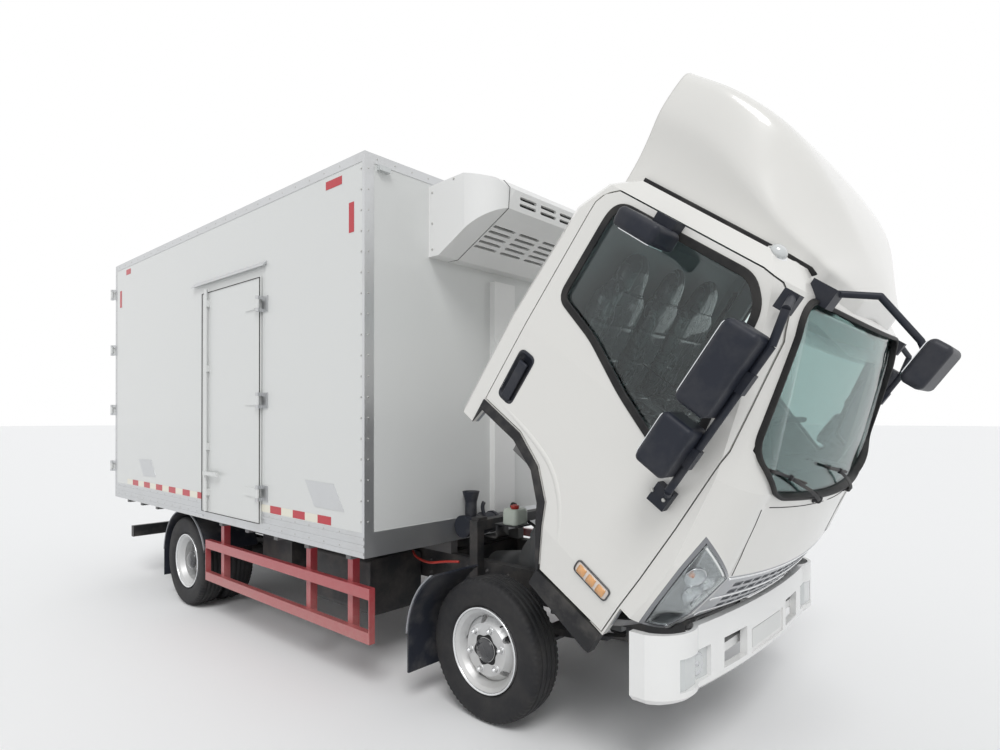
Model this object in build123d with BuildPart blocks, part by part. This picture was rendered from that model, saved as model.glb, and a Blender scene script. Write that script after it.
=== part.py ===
"""Refrigerated truck with its cab tilted forward, full size, in millimetres.

Frame: +X towards the truck's front, +Y to its left, +Z up, ground at Z = 0.
The cab is modelled lowered, in its driving position, and then turned about its tilt pivot.
"""

from math import atan2, cos, degrees, hypot, pi, radians, sin
import os

from build123d import *

os.makedirs("parts", exist_ok=True)

# Where the part's origin lies, in front of the modelling datum: halfway along the overall length
ORIGIN_X = 393

# Running gear
WHEELBASE = 3300
FRONT_AXLE_X = 1835
REAR_AXLE_X = FRONT_AXLE_X - WHEELBASE
TYRE_RADIUS = 376
TYRE_WIDTH = 198
RIM_RADIUS = 225
RIM_WIDTH = 165
FRONT_WHEEL_Y = 765
REAR_OUTER_WHEEL_Y = 952
TWIN_SPACING = 232
KING_PIN_Y = 672
KING_PIN_RADIUS = 18
SPINDLE_RADIUS = 32
RUNNING_CLEARANCE = 0.3
NUT_COUNT = 6
NUT_CIRCLE = 222.25
HAND_HOLES = 5
STEER_ARM = 165

# Ladder frame
RAIL_OUT_Y = 375
RAIL_FLANGE = 60
RAIL_WALL = 8
RAIL_HEIGHT = 190
RAIL_TOP = 700
RAIL_REAR_X = -2890
RAIL_FRONT_X = 2740

# Insulated box
BOX_FRONT_X = 1176
BOX_LENGTH = 4161
BOX_HALF_WIDTH = 1124
BOX_BOTTOM = 805
BOX_TOP = 3110
WALL = 80
FLOOR_THICKNESS = 110
PORTAL_DEPTH = 60
BOX_REAR_X = BOX_FRONT_X - BOX_LENGTH
BASE_RAIL_HEIGHT = 142
TRIM = 3
SIDE_DOOR_REAR_X = -907
SIDE_DOOR_FRONT_X = -8
SIDE_DOOR_BOTTOM = BOX_BOTTOM + BASE_RAIL_HEIGHT + 4
SIDE_DOOR_TOP = 2557
DOOR_GAP = 6
DOOR_LAP = 13
DOOR_FOOT = 84
DOOR_SKIN = 16

# Cross bearers under the floor; those over the rear wheels stop short
FRONT_BEARER_X = 905
MIDDLE_BEARER_X = 440
REAR_BEARER_X = -800
FULL_BEARERS = (FRONT_BEARER_X, MIDDLE_BEARER_X, 45, -375, REAR_BEARER_X, -2120, -2500, -2860)
SHORT_BEARERS = (-1180, -1750)
SHORT_REACH = 560
BEARER_DEPTH = 55
BEARER_WIDTH = 50

# Cab, lowered
TILT_PIVOT_X = 2810
TILT_PIVOT_Z = 670
CAB_TILT = 36
CAB_WALL = 42
GLASS = 6
GLASS_INSET = 12
SHUT_GAP = 6

# Body that the piece functions share
TILT_AXIS = Axis((TILT_PIVOT_X, 0, TILT_PIVOT_Z), (0, 1, 0))
RAIL_BOTTOM = RAIL_TOP - RAIL_HEIGHT
RAIL_IN_Y = RAIL_OUT_Y - RAIL_FLANGE
RAIL_MID_Z = RAIL_TOP - RAIL_HEIGHT / 2
WEB_IN_Y = RAIL_OUT_Y - RAIL_WALL
SIDES = {"right": -1, "left": 1}


def keep(builder, node, on_cab=False):
    """Label a finished piece, turn it with the cab if it belongs there, and write its STEP."""
    piece = builder.part
    if on_cab:
        piece = piece.rotate(TILT_AXIS, CAB_TILT)
    piece = piece.moved(Location((-ORIGIN_X, 0, 0)))
    piece.label = node
    export_step(piece, f"parts/{node}.step")
    return piece


def upright_plane(y):
    """Plane at a given Y whose sketch axes are world X and Z, and whose normal is -Y."""
    return Plane(origin=(0, y, 0), x_dir=(1, 0, 0), z_dir=(0, -1, 0))


def across(x):
    """Plane at a given X whose sketch axes are world Y and Z."""
    return Plane.YZ.offset(x)


def prism_y(points, y_low, y_high):
    """Solid between two Y values whose outline is a list of (x, z)."""
    with BuildPart() as prism:
        with BuildSketch(upright_plane(y_high)):
            with BuildLine():
                Polyline(*points, close=True)
            make_face()
        extrude(amount=y_high - y_low)
    return prism.part


def common(first, second):
    """What two solids have in common."""
    with BuildPart() as shared:
        add(first)
        add(second, mode=Mode.INTERSECT)
    return shared.part


def prism_x(points, x_low, x_high):
    """Solid between two X values whose outline is a list of (y, z)."""
    with BuildPart() as prism:
        with BuildSketch(across(x_low)):
            with BuildLine():
                Polyline(*points, close=True)
            make_face()
        extrude(amount=x_high - x_low)
    return prism.part


def block(x, y, z):
    """Box from (low, high) pairs along each axis."""
    middle = [(low + high) / 2 for low, high in (x, y, z)]
    size = [high - low for low, high in (x, y, z)]
    with BuildPart() as made:
        with Locations(tuple(middle)):
            Box(*size)
    return made.part


def rod(start, end, radius):
    """Round bar between two points."""
    run = Vector(*end) - Vector(*start)
    with BuildPart() as made:
        with BuildSketch(Plane(origin=start, z_dir=run.normalized())):
            Circle(radius)
        extrude(amount=run.length)
    return made.part


# Ladder frame
with BuildPart() as frame_rails:
    with BuildSketch(across(RAIL_REAR_X)):
        with Locations((RAIL_OUT_Y - RAIL_FLANGE / 2, RAIL_MID_Z)):
            Rectangle(RAIL_FLANGE, RAIL_HEIGHT)
        with Locations((RAIL_IN_Y + (RAIL_FLANGE - RAIL_WALL) / 2, RAIL_MID_Z)):
            Rectangle(RAIL_FLANGE - RAIL_WALL, RAIL_HEIGHT - 2 * RAIL_WALL, mode=Mode.SUBTRACT)
    extrude(amount=RAIL_FRONT_X - RAIL_REAR_X)
    mirror(about=Plane.XZ)
keep(frame_rails, "frame_rails")

# Channel crossmembers between the webs: X position, depth, height, side of the web
TOW_MEMBER_X = -2800
TOW_MEMBER_DEPTH = 60
CROSSMEMBERS = (
    (2700, 60, 150, 1),
    (1010, 60, 96, 1),
    (60, 60, 96, 1),
    (-880, 60, 96, 1),
    (-2010, 60, 150, 1),
    (TOW_MEMBER_X, TOW_MEMBER_DEPTH, 150, -1),
)
CHANNEL_WALL = 8
TOW_HOLES_Y = 140
TOW_HOLES_Z = 80
TOW_HOLE_RADIUS = 8.5
TOW_MID_Z = RAIL_TOP - RAIL_WALL - 2 - 75
UNDERRUN_X = -2850
UNDERRUN_Z = 455
UNDERRUN_HALF = 1010
UNDERRUN_DEPTH = 60
UNDERRUN_HEIGHT = 110
with BuildPart() as crossmembers:
    for x, depth, height, web in CROSSMEMBERS:
        with BuildSketch(upright_plane(WEB_IN_Y)):
            z = RAIL_TOP - RAIL_WALL - 2 - height / 2
            with Locations((x, z)):
                Rectangle(depth, height)
            with Locations((x - web * CHANNEL_WALL, z)):
                Rectangle(depth, height - 2 * CHANNEL_WALL, mode=Mode.SUBTRACT)
        extrude(amount=2 * WEB_IN_Y)
    with BuildSketch(across(TOW_MEMBER_X - TOW_MEMBER_DEPTH / 2 - 1)):
        with Locations((0, TOW_MID_Z)):
            with GridLocations(TOW_HOLES_Y, TOW_HOLES_Z, 2, 2):
                Circle(TOW_HOLE_RADIUS)
    extrude(amount=CHANNEL_WALL + 2, mode=Mode.SUBTRACT)
keep(crossmembers, "crossmembers")

with BuildPart() as rear_underrun:
    with BuildSketch(upright_plane(UNDERRUN_HALF)):
        with Locations((UNDERRUN_X, UNDERRUN_Z)):
            RectangleRounded(UNDERRUN_DEPTH, UNDERRUN_HEIGHT, 12)
    extrude(amount=2 * UNDERRUN_HALF)
    hanger_low = UNDERRUN_Z + UNDERRUN_HEIGHT / 2 - 20
    for side in (-1, 1):
        y = side * (RAIL_OUT_Y + 6)
        add(block((UNDERRUN_X - 30, UNDERRUN_X + 60), sorted((y - side * 6, y + side * 6)), (hanger_low, RAIL_MID_Z)))
keep(rear_underrun, "rear_underrun")

# Front axle: a dropped I-beam with an eye at each end for the king pin
AXLE_EYE_HEIGHT = 84
AXLE_EYE_RADIUS = 40
BEAM_DEPTH = 66
BEAM_HEIGHT = 78
BEAM_DROP = 58
BEAM_POCKET = 22
SPRING_Y = RAIL_OUT_Y - RAIL_FLANGE / 2
eye_low = TYRE_RADIUS - AXLE_EYE_HEIGHT / 2
eye_high = TYRE_RADIUS + AXLE_EYE_HEIGHT / 2
beam_low = TYRE_RADIUS - BEAM_DROP - BEAM_HEIGHT / 2
beam_high = TYRE_RADIUS - BEAM_DROP + BEAM_HEIGHT / 2
beam_bend = 470
beam_outline = [
    (-KING_PIN_Y, eye_low),
    (-KING_PIN_Y + 78, eye_low),
    (-beam_bend, beam_low),
    (beam_bend, beam_low),
    (KING_PIN_Y - 78, eye_low),
    (KING_PIN_Y, eye_low),
    (KING_PIN_Y, eye_high),
    (beam_bend + 30, beam_high),
    (-beam_bend - 30, beam_high),
    (-KING_PIN_Y, eye_high),
]
pocket_outline = [
    (-beam_bend, beam_low + 18),
    (beam_bend, beam_low + 18),
    (beam_bend, beam_high - 18),
    (-beam_bend, beam_high - 18),
]
with BuildPart() as front_axle:
    add(prism_x(beam_outline, FRONT_AXLE_X - BEAM_DEPTH / 2, FRONT_AXLE_X + BEAM_DEPTH / 2))
    add(
        prism_x(pocket_outline, FRONT_AXLE_X + BEAM_DEPTH / 2 - BEAM_POCKET, FRONT_AXLE_X + BEAM_DEPTH),
        mode=Mode.SUBTRACT,
    )
    add(
        prism_x(pocket_outline, FRONT_AXLE_X - BEAM_DEPTH, FRONT_AXLE_X - BEAM_DEPTH / 2 + BEAM_POCKET),
        mode=Mode.SUBTRACT,
    )
    for side in (-1, 1):
        with Locations((FRONT_AXLE_X, side * KING_PIN_Y, TYRE_RADIUS)):
            Cylinder(AXLE_EYE_RADIUS, AXLE_EYE_HEIGHT)
            Cylinder(KING_PIN_RADIUS + RUNNING_CLEARANCE, AXLE_EYE_HEIGHT + 20, mode=Mode.SUBTRACT)
        with Locations((FRONT_AXLE_X, side * SPRING_Y, beam_high - 4)):
            Box(120, 84, 24)
keep(front_axle, "front_axle")

# Rear axle: banjo housing, axle tubes and propeller shaft
BANJO_RADIUS = 150
AXLE_TUBE_RADIUS = 52
SHAFT_RADIUS = 42
GEARBOX_OUT_X = 1120
GEARBOX_OUT_Z = 535
REAR_INNER_WHEEL_Y = REAR_OUTER_WHEEL_Y - TWIN_SPACING
REAR_SPINDLE_END = REAR_OUTER_WHEEL_Y + 20
REAR_HUB_IN = 292
with BuildPart() as rear_axle:
    tube_end = REAR_OUTER_WHEEL_Y - REAR_HUB_IN - 4
    with BuildSketch(Plane(origin=(REAR_AXLE_X, 0, TYRE_RADIUS), x_dir=(0, 1, 0), z_dir=(1, 0, 0))):
        with BuildLine():
            Polyline((-tube_end, 0), (-tube_end, AXLE_TUBE_RADIUS), (-210, AXLE_TUBE_RADIUS + 12))
            ThreePointArc((-210, AXLE_TUBE_RADIUS + 12), (0, BANJO_RADIUS), (210, AXLE_TUBE_RADIUS + 12))
            Polyline(
                (210, AXLE_TUBE_RADIUS + 12),
                (tube_end, AXLE_TUBE_RADIUS),
                (tube_end, 0),
                (-tube_end, 0),
            )
        make_face()
    revolve(axis=Axis((REAR_AXLE_X, 0, TYRE_RADIUS), (0, 1, 0)), revolution_arc=360)
    add(rod((REAR_AXLE_X, -REAR_SPINDLE_END, TYRE_RADIUS), (REAR_AXLE_X, REAR_SPINDLE_END, TYRE_RADIUS), SPINDLE_RADIUS))
    add(rod((REAR_AXLE_X + 60, 0, TYRE_RADIUS), (REAR_AXLE_X + 260, 0, TYRE_RADIUS + 14), 78))
    add(rod((REAR_AXLE_X + 240, 0, TYRE_RADIUS + 13), (GEARBOX_OUT_X - 12, 0, GEARBOX_OUT_Z), SHAFT_RADIUS))
    add(rod((GEARBOX_OUT_X - 30, 0, GEARBOX_OUT_Z), (GEARBOX_OUT_X, 0, GEARBOX_OUT_Z), SHAFT_RADIUS + 12))
    for side in (-1, 1):
        with Locations((REAR_AXLE_X, side * SPRING_Y, TYRE_RADIUS + AXLE_TUBE_RADIUS)):
            Box(130, 84, 24)
keep(rear_axle, "rear_axle")

# Leaf springs: axle X, spring seat Z, half span, camber
SPRING_TABLE = ((FRONT_AXLE_X, beam_high + 8, 600, 62), (REAR_AXLE_X, TYRE_RADIUS + AXLE_TUBE_RADIUS + 12, 640, 12))
LEAF_WIDTH = 70
LEAF_THICKNESS = 12
SPRING_EYE_RADIUS = 24
with BuildPart() as leaf_springs:
    for axle_x, seat_z, half_span, camber in SPRING_TABLE:
        eye_z = seat_z + 3 * LEAF_THICKNESS + camber
        for side in (-1, 1):
            y_out = side * SPRING_Y + LEAF_WIDTH / 2
            for leaf, share in enumerate((1.0, 0.78, 0.5)):
                low = seat_z + (2 - leaf) * LEAF_THICKNESS
                reach = half_span * share
                rise = camber * share * share
                with BuildSketch(upright_plane(y_out)):
                    with BuildLine():
                        ThreePointArc((axle_x - reach, low + rise), (axle_x, low), (axle_x + reach, low + rise))
                        Line((axle_x + reach, low + rise), (axle_x + reach, low + rise + LEAF_THICKNESS))
                        ThreePointArc(
                            (axle_x + reach, low + rise + LEAF_THICKNESS),
                            (axle_x, low + LEAF_THICKNESS),
                            (axle_x - reach, low + rise + LEAF_THICKNESS),
                        )
                        Line((axle_x - reach, low + rise + LEAF_THICKNESS), (axle_x - reach, low + rise))
                    make_face()
                extrude(amount=LEAF_WIDTH)
            for end in (-1, 1):
                x = axle_x + end * half_span
                add(rod((x, y_out, eye_z - 6), (x, y_out - LEAF_WIDTH, eye_z - 6), SPRING_EYE_RADIUS))
                add(block((x - 20, x + 20), (y_out - LEAF_WIDTH, y_out), (eye_z - 6, RAIL_BOTTOM)))
keep(leaf_springs, "leaf_springs")


# Wheels and tyres, turned about the wheel's own axle line; profiles are (outward, radius)
def spun(outline, x, y, side):
    """Solid of revolution about the axle line at (x, y); outward distance grows away from the truck."""
    with BuildPart() as turned:
        with BuildSketch(Plane(origin=(x, y, TYRE_RADIUS), x_dir=(0, side, 0), z_dir=(side, 0, 0))):
            with BuildLine():
                Polyline(*outline, close=True)
            make_face()
        revolve(axis=Axis((x, y, TYRE_RADIUS), (0, 1, 0)), revolution_arc=360)
    return turned.part


def tyre_outline():
    """Half-round shoulders and bulged walls, as (outward, radius) from the tyre's middle plane."""
    half = TYRE_WIDTH / 2
    bead = RIM_WIDTH / 2 - 12.5
    seat = RIM_RADIUS - 18
    wall = [
        (bead, seat),
        (bead, RIM_RADIUS + 1),
        (bead + 10, RIM_RADIUS + 8),
        (half, TYRE_RADIUS - 78),
        (half - 4, TYRE_RADIUS - 32),
        (half - 18, TYRE_RADIUS - 8),
        (half - 34, TYRE_RADIUS),
    ]
    return [(-out, r) for out, r in wall] + wall[::-1]


def rim_outline(disc_out):
    """Rim barrel with its flanges, and a disc whose nut face lies at disc_out."""
    half = RIM_WIDTH / 2
    seat = RIM_RADIUS - 18.5
    well = RIM_RADIUS - 44
    return [
        (-half, RIM_RADIUS),
        (-half + 10, RIM_RADIUS),
        (-half + 12, seat),
        (-half + 50, seat - 2),
        (-half + 62, well),
        (half - 62, well),
        (half - 50, seat - 2),
        (half - 12, seat),
        (half - 10, RIM_RADIUS),
        (half, RIM_RADIUS),
        (half, RIM_RADIUS - 10),
        (half - 16, seat - 12),
        (half - 52, well - 10),
        (-half + 58, well - 10),
        (-half + 12, seat - 14),
        (-half, RIM_RADIUS - 10),
    ]


def wheel_solid(x, y, side, disc_out, hub_in, hub_out, cap_radius):
    """One disc wheel with its hub; disc_out is the nut face, hub_in and hub_out the hub's ends."""
    half = RIM_WIDTH / 2
    well = RIM_RADIUS - 44
    root = disc_out - 62 if disc_out > 0 else disc_out + 40
    disc = [
        (root, well - 4),
        (root + 14, well - 4),
        (disc_out, well - 44),
        (disc_out, 70),
        (disc_out - 14, 70),
        (disc_out - 14, well - 50),
    ]
    hub = [
        (hub_in, SPINDLE_RADIUS + RUNNING_CLEARANCE),
        (hub_in, 92),
        (disc_out - 14, 92),
        (disc_out - 14, 70),
        (disc_out, 70),
        (hub_out - 8, cap_radius),
        (hub_out, cap_radius - 14),
        (hub_out, 0),
        (hub_out - 22, 0),
        (hub_out - 22, SPINDLE_RADIUS + RUNNING_CLEARANCE),
    ]
    with BuildPart() as wheel:
        add(spun(rim_outline(disc_out), x, y, side))
        add(spun(disc, x, y, side))
        add(spun(hub, x, y, side))
        face_plane = Plane(origin=(x, y + side * disc_out, TYRE_RADIUS), x_dir=(1, 0, 0), z_dir=(0, side, 0))
        with BuildSketch(face_plane.offset(-60)):
            with PolarLocations(well - 26, HAND_HOLES, start_angle=30):
                Circle(19)
        extrude(amount=80, mode=Mode.SUBTRACT)
        with BuildSketch(face_plane):
            with PolarLocations(NUT_CIRCLE / 2, NUT_COUNT, start_angle=12):
                RegularPolygon(16, 6)
        extrude(amount=20)
    return wheel.part


FRONT_DISC_OUT = 62
FRONT_HUB_OUT = 74
REAR_DISC_OUT = 28
for name, side in SIDES.items():
    with BuildPart() as front_tyre:
        add(spun(tyre_outline(), FRONT_AXLE_X, side * FRONT_WHEEL_Y, side))
    keep(front_tyre, f"tyre_front_{name}")
    with BuildPart() as front_wheel:
        add(wheel_solid(FRONT_AXLE_X, side * FRONT_WHEEL_Y, side, FRONT_DISC_OUT, -28, FRONT_HUB_OUT, 60))
    keep(front_wheel, f"wheel_front_{name}")
    with BuildPart() as rear_tyre:
        add(spun(tyre_outline(), REAR_AXLE_X, side * REAR_OUTER_WHEEL_Y, side))
        add(spun(tyre_outline(), REAR_AXLE_X, side * REAR_INNER_WHEEL_Y, side))
    keep(rear_tyre, f"tyre_rear_{name}")
    with BuildPart() as rear_wheel:
        half = RIM_WIDTH / 2
        hub_in = -REAR_HUB_IN
        dish = -REAR_DISC_OUT - 90
        well = RIM_RADIUS - 44
        add(spun(rim_outline(0), REAR_AXLE_X, side * REAR_OUTER_WHEEL_Y, side))
        add(spun(rim_outline(0), REAR_AXLE_X, side * REAR_INNER_WHEEL_Y, side))
        outer_disc = [(-half + 20, well + 6), (-half + 34, well + 6), (dish + 14, well - 44), (dish + 14, 60), (dish, 60), (dish, well - 50)]
        inner_disc = [
            (dish, well - 50),
            (dish, 60),
            (dish - 14, 60),
            (dish - 14, well - 44),
            (half - 34 - TWIN_SPACING, well + 6),
            (half - 20 - TWIN_SPACING, well + 6),
        ]
        hub = [
            (hub_in, SPINDLE_RADIUS + RUNNING_CLEARANCE),
            (hub_in, 100),
            (dish - 8, 100),
            (dish - 8, 78),
            (40, 74),
            (56, 60),
            (56, 0),
            (36, 0),
            (36, SPINDLE_RADIUS + RUNNING_CLEARANCE),
        ]
        for outline in (outer_disc, inner_disc, hub):
            add(spun(outline, REAR_AXLE_X, side * REAR_OUTER_WHEEL_Y, side))
        face_plane = Plane(
            origin=(REAR_AXLE_X, side * (REAR_OUTER_WHEEL_Y + dish + 14), TYRE_RADIUS),
            x_dir=(1, 0, 0),
            z_dir=(0, side, 0),
        )
        with BuildSketch(face_plane):
            with PolarLocations(NUT_CIRCLE / 2, NUT_COUNT):
                RegularPolygon(16, 6)
        extrude(amount=24)
    keep(rear_wheel, f"wheel_rear_{name}")

# Steering knuckles: a fork round the beam's eye, the spindle and the steering arm
FORK_GAP = 6
FORK_EAR = 22
KNUCKLE_BLOCK = 60
for name, side in SIDES.items():
    with BuildPart() as knuckle:
        ear_low = eye_high + FORK_GAP
        for z in (ear_low, eye_low - FORK_GAP - FORK_EAR):
            with Locations((FRONT_AXLE_X, side * KING_PIN_Y, z + FORK_EAR / 2)):
                Cylinder(34, FORK_EAR)
            y_pair = sorted((side * KING_PIN_Y, side * (KING_PIN_Y + AXLE_EYE_RADIUS + 22)))
            add(block((FRONT_AXLE_X - 30, FRONT_AXLE_X + 30), y_pair, (z, z + FORK_EAR)))
        y_pair = sorted((side * (KING_PIN_Y + AXLE_EYE_RADIUS + 6), side * (KING_PIN_Y + AXLE_EYE_RADIUS + 22)))
        add(
            block(
                (FRONT_AXLE_X - 30, FRONT_AXLE_X + 30),
                y_pair,
                (eye_low - FORK_GAP - FORK_EAR, ear_low + FORK_EAR),
            )
        )
        with Locations((FRONT_AXLE_X, side * KING_PIN_Y, TYRE_RADIUS)):
            Cylinder(KING_PIN_RADIUS, AXLE_EYE_HEIGHT + 2 * (FORK_GAP + FORK_EAR) + 16)
        spindle_start = side * (KING_PIN_Y + AXLE_EYE_RADIUS + 10)
        spindle_end = side * (FRONT_WHEEL_Y + FRONT_HUB_OUT - 28)
        add(rod((FRONT_AXLE_X, spindle_start, TYRE_RADIUS), (FRONT_AXLE_X, spindle_end, TYRE_RADIUS), SPINDLE_RADIUS))
        arm_y = side * (KING_PIN_Y - 24)
        arm_z = eye_low - FORK_GAP - FORK_EAR / 2
        add(rod((FRONT_AXLE_X, side * KING_PIN_Y, arm_z), (FRONT_AXLE_X - STEER_ARM, arm_y, arm_z), 11))
        with Locations((FRONT_AXLE_X - STEER_ARM, arm_y, arm_z)):
            Cylinder(20, 22)
    keep(knuckle, f"knuckle_{name}")

# Engine, clutch housing and gearbox as one closed unit with its cover and sump
ENGINE_X = (1640, 2310)
ENGINE_HALF = 215
ENGINE_Z = (520, 940)
with BuildPart() as engine:
    add(block(ENGINE_X, (-ENGINE_HALF, ENGINE_HALF), ENGINE_Z))
    chamfer(engine.edges().filter_by(Axis.X).group_by(Axis.Z)[-1], 60)
    add(block((ENGINE_X[0] + 60, ENGINE_X[1] - 30), (-130, 130), (ENGINE_Z[1] - 1, ENGINE_Z[1] + 70)))
    add(block((ENGINE_X[0] + 110, ENGINE_X[1] - 60), (-150, 150), (ENGINE_Z[0] - 130, ENGINE_Z[0] + 1)))
    add(rod((ENGINE_X[0] + 1, 0, 640), (ENGINE_X[0] - 120, 0, 640), 190))
    add(rod((ENGINE_X[0] - 119, 0, 600), (GEARBOX_OUT_X + 60, 0, GEARBOX_OUT_Z + 10), 125))
    add(rod((GEARBOX_OUT_X + 75, 0, GEARBOX_OUT_Z), (GEARBOX_OUT_X, 0, GEARBOX_OUT_Z), 70))
    add(rod((ENGINE_X[1] - 1, 0, 760), (ENGINE_X[1] + 40, 0, 760), 60))
    add(rod((ENGINE_X[1] + 39, 0, 760), (ENGINE_X[1] + 75, 0, 760), 225))
    for side in (-1, 1):
        add(block((1960, 2060), sorted((side * (ENGINE_HALF - 1), side * WEB_IN_Y)), (600, 660)))
keep(engine, "engine")

# Radiator with its core recess, standing on the front of the frame
RADIATOR_X = (2430, 2500)
RADIATOR_HALF = 290
RADIATOR_Z = (RAIL_BOTTOM + 30, 1010)
with BuildPart() as radiator:
    add(block(RADIATOR_X, (-RADIATOR_HALF, RADIATOR_HALF), RADIATOR_Z))
    add(block((RADIATOR_X[1] - 14, RADIATOR_X[1] + 1), (-240, 240), (620, 950)), mode=Mode.SUBTRACT)
    add(block((RADIATOR_X[0] - 1, RADIATOR_X[0] + 14), (-240, 240), (620, 950)), mode=Mode.SUBTRACT)
    for side in (-1, 1):
        add(block(RADIATOR_X, sorted((side * (RADIATOR_HALF - 1), side * WEB_IN_Y)), (RAIL_TOP - 60, RAIL_TOP - 10)))
keep(radiator, "radiator")

# Exhaust down the left side: pipe, silencer and tail pipe
EXHAUST_PATH = ((1740, ENGINE_HALF, 590), (1740, 255, 590), (1740, 255, 460), (1190, 255, 440), (960, 500, 440))
SILENCER = ((980, 560, 440), (430, 560, 440))
SILENCER_RADIUS = 105
TAIL_PATH = ((440, 560, 440), (330, 560, 440), (230, 820, 420))
with BuildPart() as exhaust:
    for path in (EXHAUST_PATH, TAIL_PATH):
        with BuildLine() as route:
            FilletPolyline(*path, radius=36)
        with BuildSketch(Plane(origin=path[0], z_dir=Vector(*path[1]) - Vector(*path[0]))):
            Circle(26)
        sweep(path=route.line)
    add(rod(*SILENCER, SILENCER_RADIUS))
    add(block((700, 730), (RAIL_OUT_Y, 520), (520, 600)))
keep(exhaust, "exhaust")

# Fuel tank on the right and battery and air boxes on the left, hung from the rails
TANK_BOXES = (
    # name, X range, side, inner Y, outer Y, Z range
    ("tank", (150, 820), -1, 395, 820, (330, 690)),
    ("battery", (-640, -200), -1, 395, 780, (400, 690)),
    ("air", (-700, 60), 1, 395, 780, (380, 690)),
)
TANK_ROUND = 40


def tank_solid(x_range, y_range, z_range):
    """Closed tank with rounded long edges."""
    with BuildPart() as tank:
        add(block(x_range, y_range, z_range))
        fillet(tank.edges().filter_by(Axis.X), TANK_ROUND)
    return tank.part


with BuildPart() as chassis_boxes:
    for label, x_range, side, y_in, y_out, z_range in TANK_BOXES:
        add(tank_solid(x_range, sorted((side * y_in, side * y_out)), z_range))
        for x in (x_range[0] + 90, x_range[1] - 90):
            y_pair = sorted((side * RAIL_OUT_Y, side * (y_in + 5)))
            add(block((x - 20, x + 20), y_pair, (z_range[1] - 150, z_range[1] - 50)))
keep(chassis_boxes, "chassis_boxes")

# Side guards: red tube rails on posts that hang from the box's base
GUARD_Y = 1050
GUARD_X = (-1010, 1140)
GUARD_TOP_Z = 585
GUARD_LOW_Z = 330
GUARD_TUBE = 66
GUARD_DEPTH = 40
GUARD_POST_X = (REAR_BEARER_X, MIDDLE_BEARER_X, FRONT_BEARER_X)
GUARD_POST_DEPTH = 50
with BuildPart() as side_guards:
    for side in (-1, 1):
        y_pair = sorted((side * (GUARD_Y - GUARD_DEPTH / 2), side * (GUARD_Y + GUARD_DEPTH / 2)))
        for z in (GUARD_TOP_Z, GUARD_LOW_Z):
            add(block(GUARD_X, y_pair, (z - GUARD_TUBE / 2, z + GUARD_TUBE / 2)))
        for x in GUARD_X:
            outer = 8 if x > 0 else -8
            x_pair = sorted((x, x + outer))
            add(block(x_pair, y_pair, (GUARD_LOW_Z - GUARD_TUBE / 2, GUARD_TOP_Z + GUARD_TUBE / 2)))
        post_out = GUARD_Y - GUARD_DEPTH / 2
        y_pair = sorted((side * post_out, side * (post_out - GUARD_POST_DEPTH)))
        for x in GUARD_POST_X:
            add(block((x - 25, x + 25), y_pair, (GUARD_LOW_Z - GUARD_TUBE / 2, BOX_BOTTOM - BEARER_DEPTH)))
keep(side_guards, "side_guards")


# Mudguards: arcs over the rear twins with flaps, and the front pair behind the front wheels
def mud_arc(axle_x, radius, start, end, thickness, y_pair):
    """Curved guard between two angles, measured from +X towards +Z about the wheel's centre."""
    mid = radians((start + end) / 2)
    a = radians(start)
    b = radians(end)
    inner = radius
    outer = radius + thickness
    with BuildPart() as arc:
        with BuildSketch(upright_plane(y_pair[1])):
            with BuildLine():
                ThreePointArc(
                    (axle_x + inner * cos(a), TYRE_RADIUS + inner * sin(a)),
                    (axle_x + inner * cos(mid), TYRE_RADIUS + inner * sin(mid)),
                    (axle_x + inner * cos(b), TYRE_RADIUS + inner * sin(b)),
                )
                Line(
                    (axle_x + inner * cos(b), TYRE_RADIUS + inner * sin(b)),
                    (axle_x + outer * cos(b), TYRE_RADIUS + outer * sin(b)),
                )
                ThreePointArc(
                    (axle_x + outer * cos(b), TYRE_RADIUS + outer * sin(b)),
                    (axle_x + outer * cos(mid), TYRE_RADIUS + outer * sin(mid)),
                    (axle_x + outer * cos(a), TYRE_RADIUS + outer * sin(a)),
                )
                Line(
                    (axle_x + outer * cos(a), TYRE_RADIUS + outer * sin(a)),
                    (axle_x + inner * cos(a), TYRE_RADIUS + inner * sin(a)),
                )
            make_face()
        extrude(amount=y_pair[1] - y_pair[0])
    return arc.part


REAR_GUARD_RADIUS = 418
FRONT_GUARD_RADIUS = 440
HOOP_POST = 60
with BuildPart() as mudguards:
    for side in (-1, 1):
        y_pair = sorted((side * 610, side * 1062))
        add(mud_arc(REAR_AXLE_X, REAR_GUARD_RADIUS, 18, 176, 10, y_pair))
        flap_x = REAR_AXLE_X - REAR_GUARD_RADIUS - 10
        add(block((flap_x, flap_x + 10), y_pair, (190, TYRE_RADIUS + 32)))
        y_pair = sorted((side * 640, side * 985))
        add(mud_arc(FRONT_AXLE_X, FRONT_GUARD_RADIUS, 122, 178, 12, y_pair))
        flap_x = FRONT_AXLE_X - FRONT_GUARD_RADIUS - 12
        add(block((flap_x, flap_x + 12), y_pair, (180, TYRE_RADIUS + 20)))
        y_pair = sorted((side * (RAIL_OUT_Y + HOOP_POST), side * 662))
        add(block((flap_x - 30, flap_x + 10), y_pair, (RAIL_TOP - 140, RAIL_TOP - 100)))
        y_pair = sorted((side * 638, side * 662))
        add(block((flap_x - 30, flap_x + 62), y_pair, (RAIL_TOP - 140, RAIL_TOP - 100)))
        y_pair = sorted((side * RAIL_OUT_Y, side * 600))
        add(block((REAR_AXLE_X - 20, REAR_AXLE_X + 20), y_pair, (RAIL_TOP - 60, RAIL_TOP - 20)))
        add(
            block(
                (REAR_AXLE_X - 20, REAR_AXLE_X + 20),
                sorted((side * 588, side * 612)),
                (RAIL_TOP - 60, TYRE_RADIUS + REAR_GUARD_RADIUS + 4),
            )
        )
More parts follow.
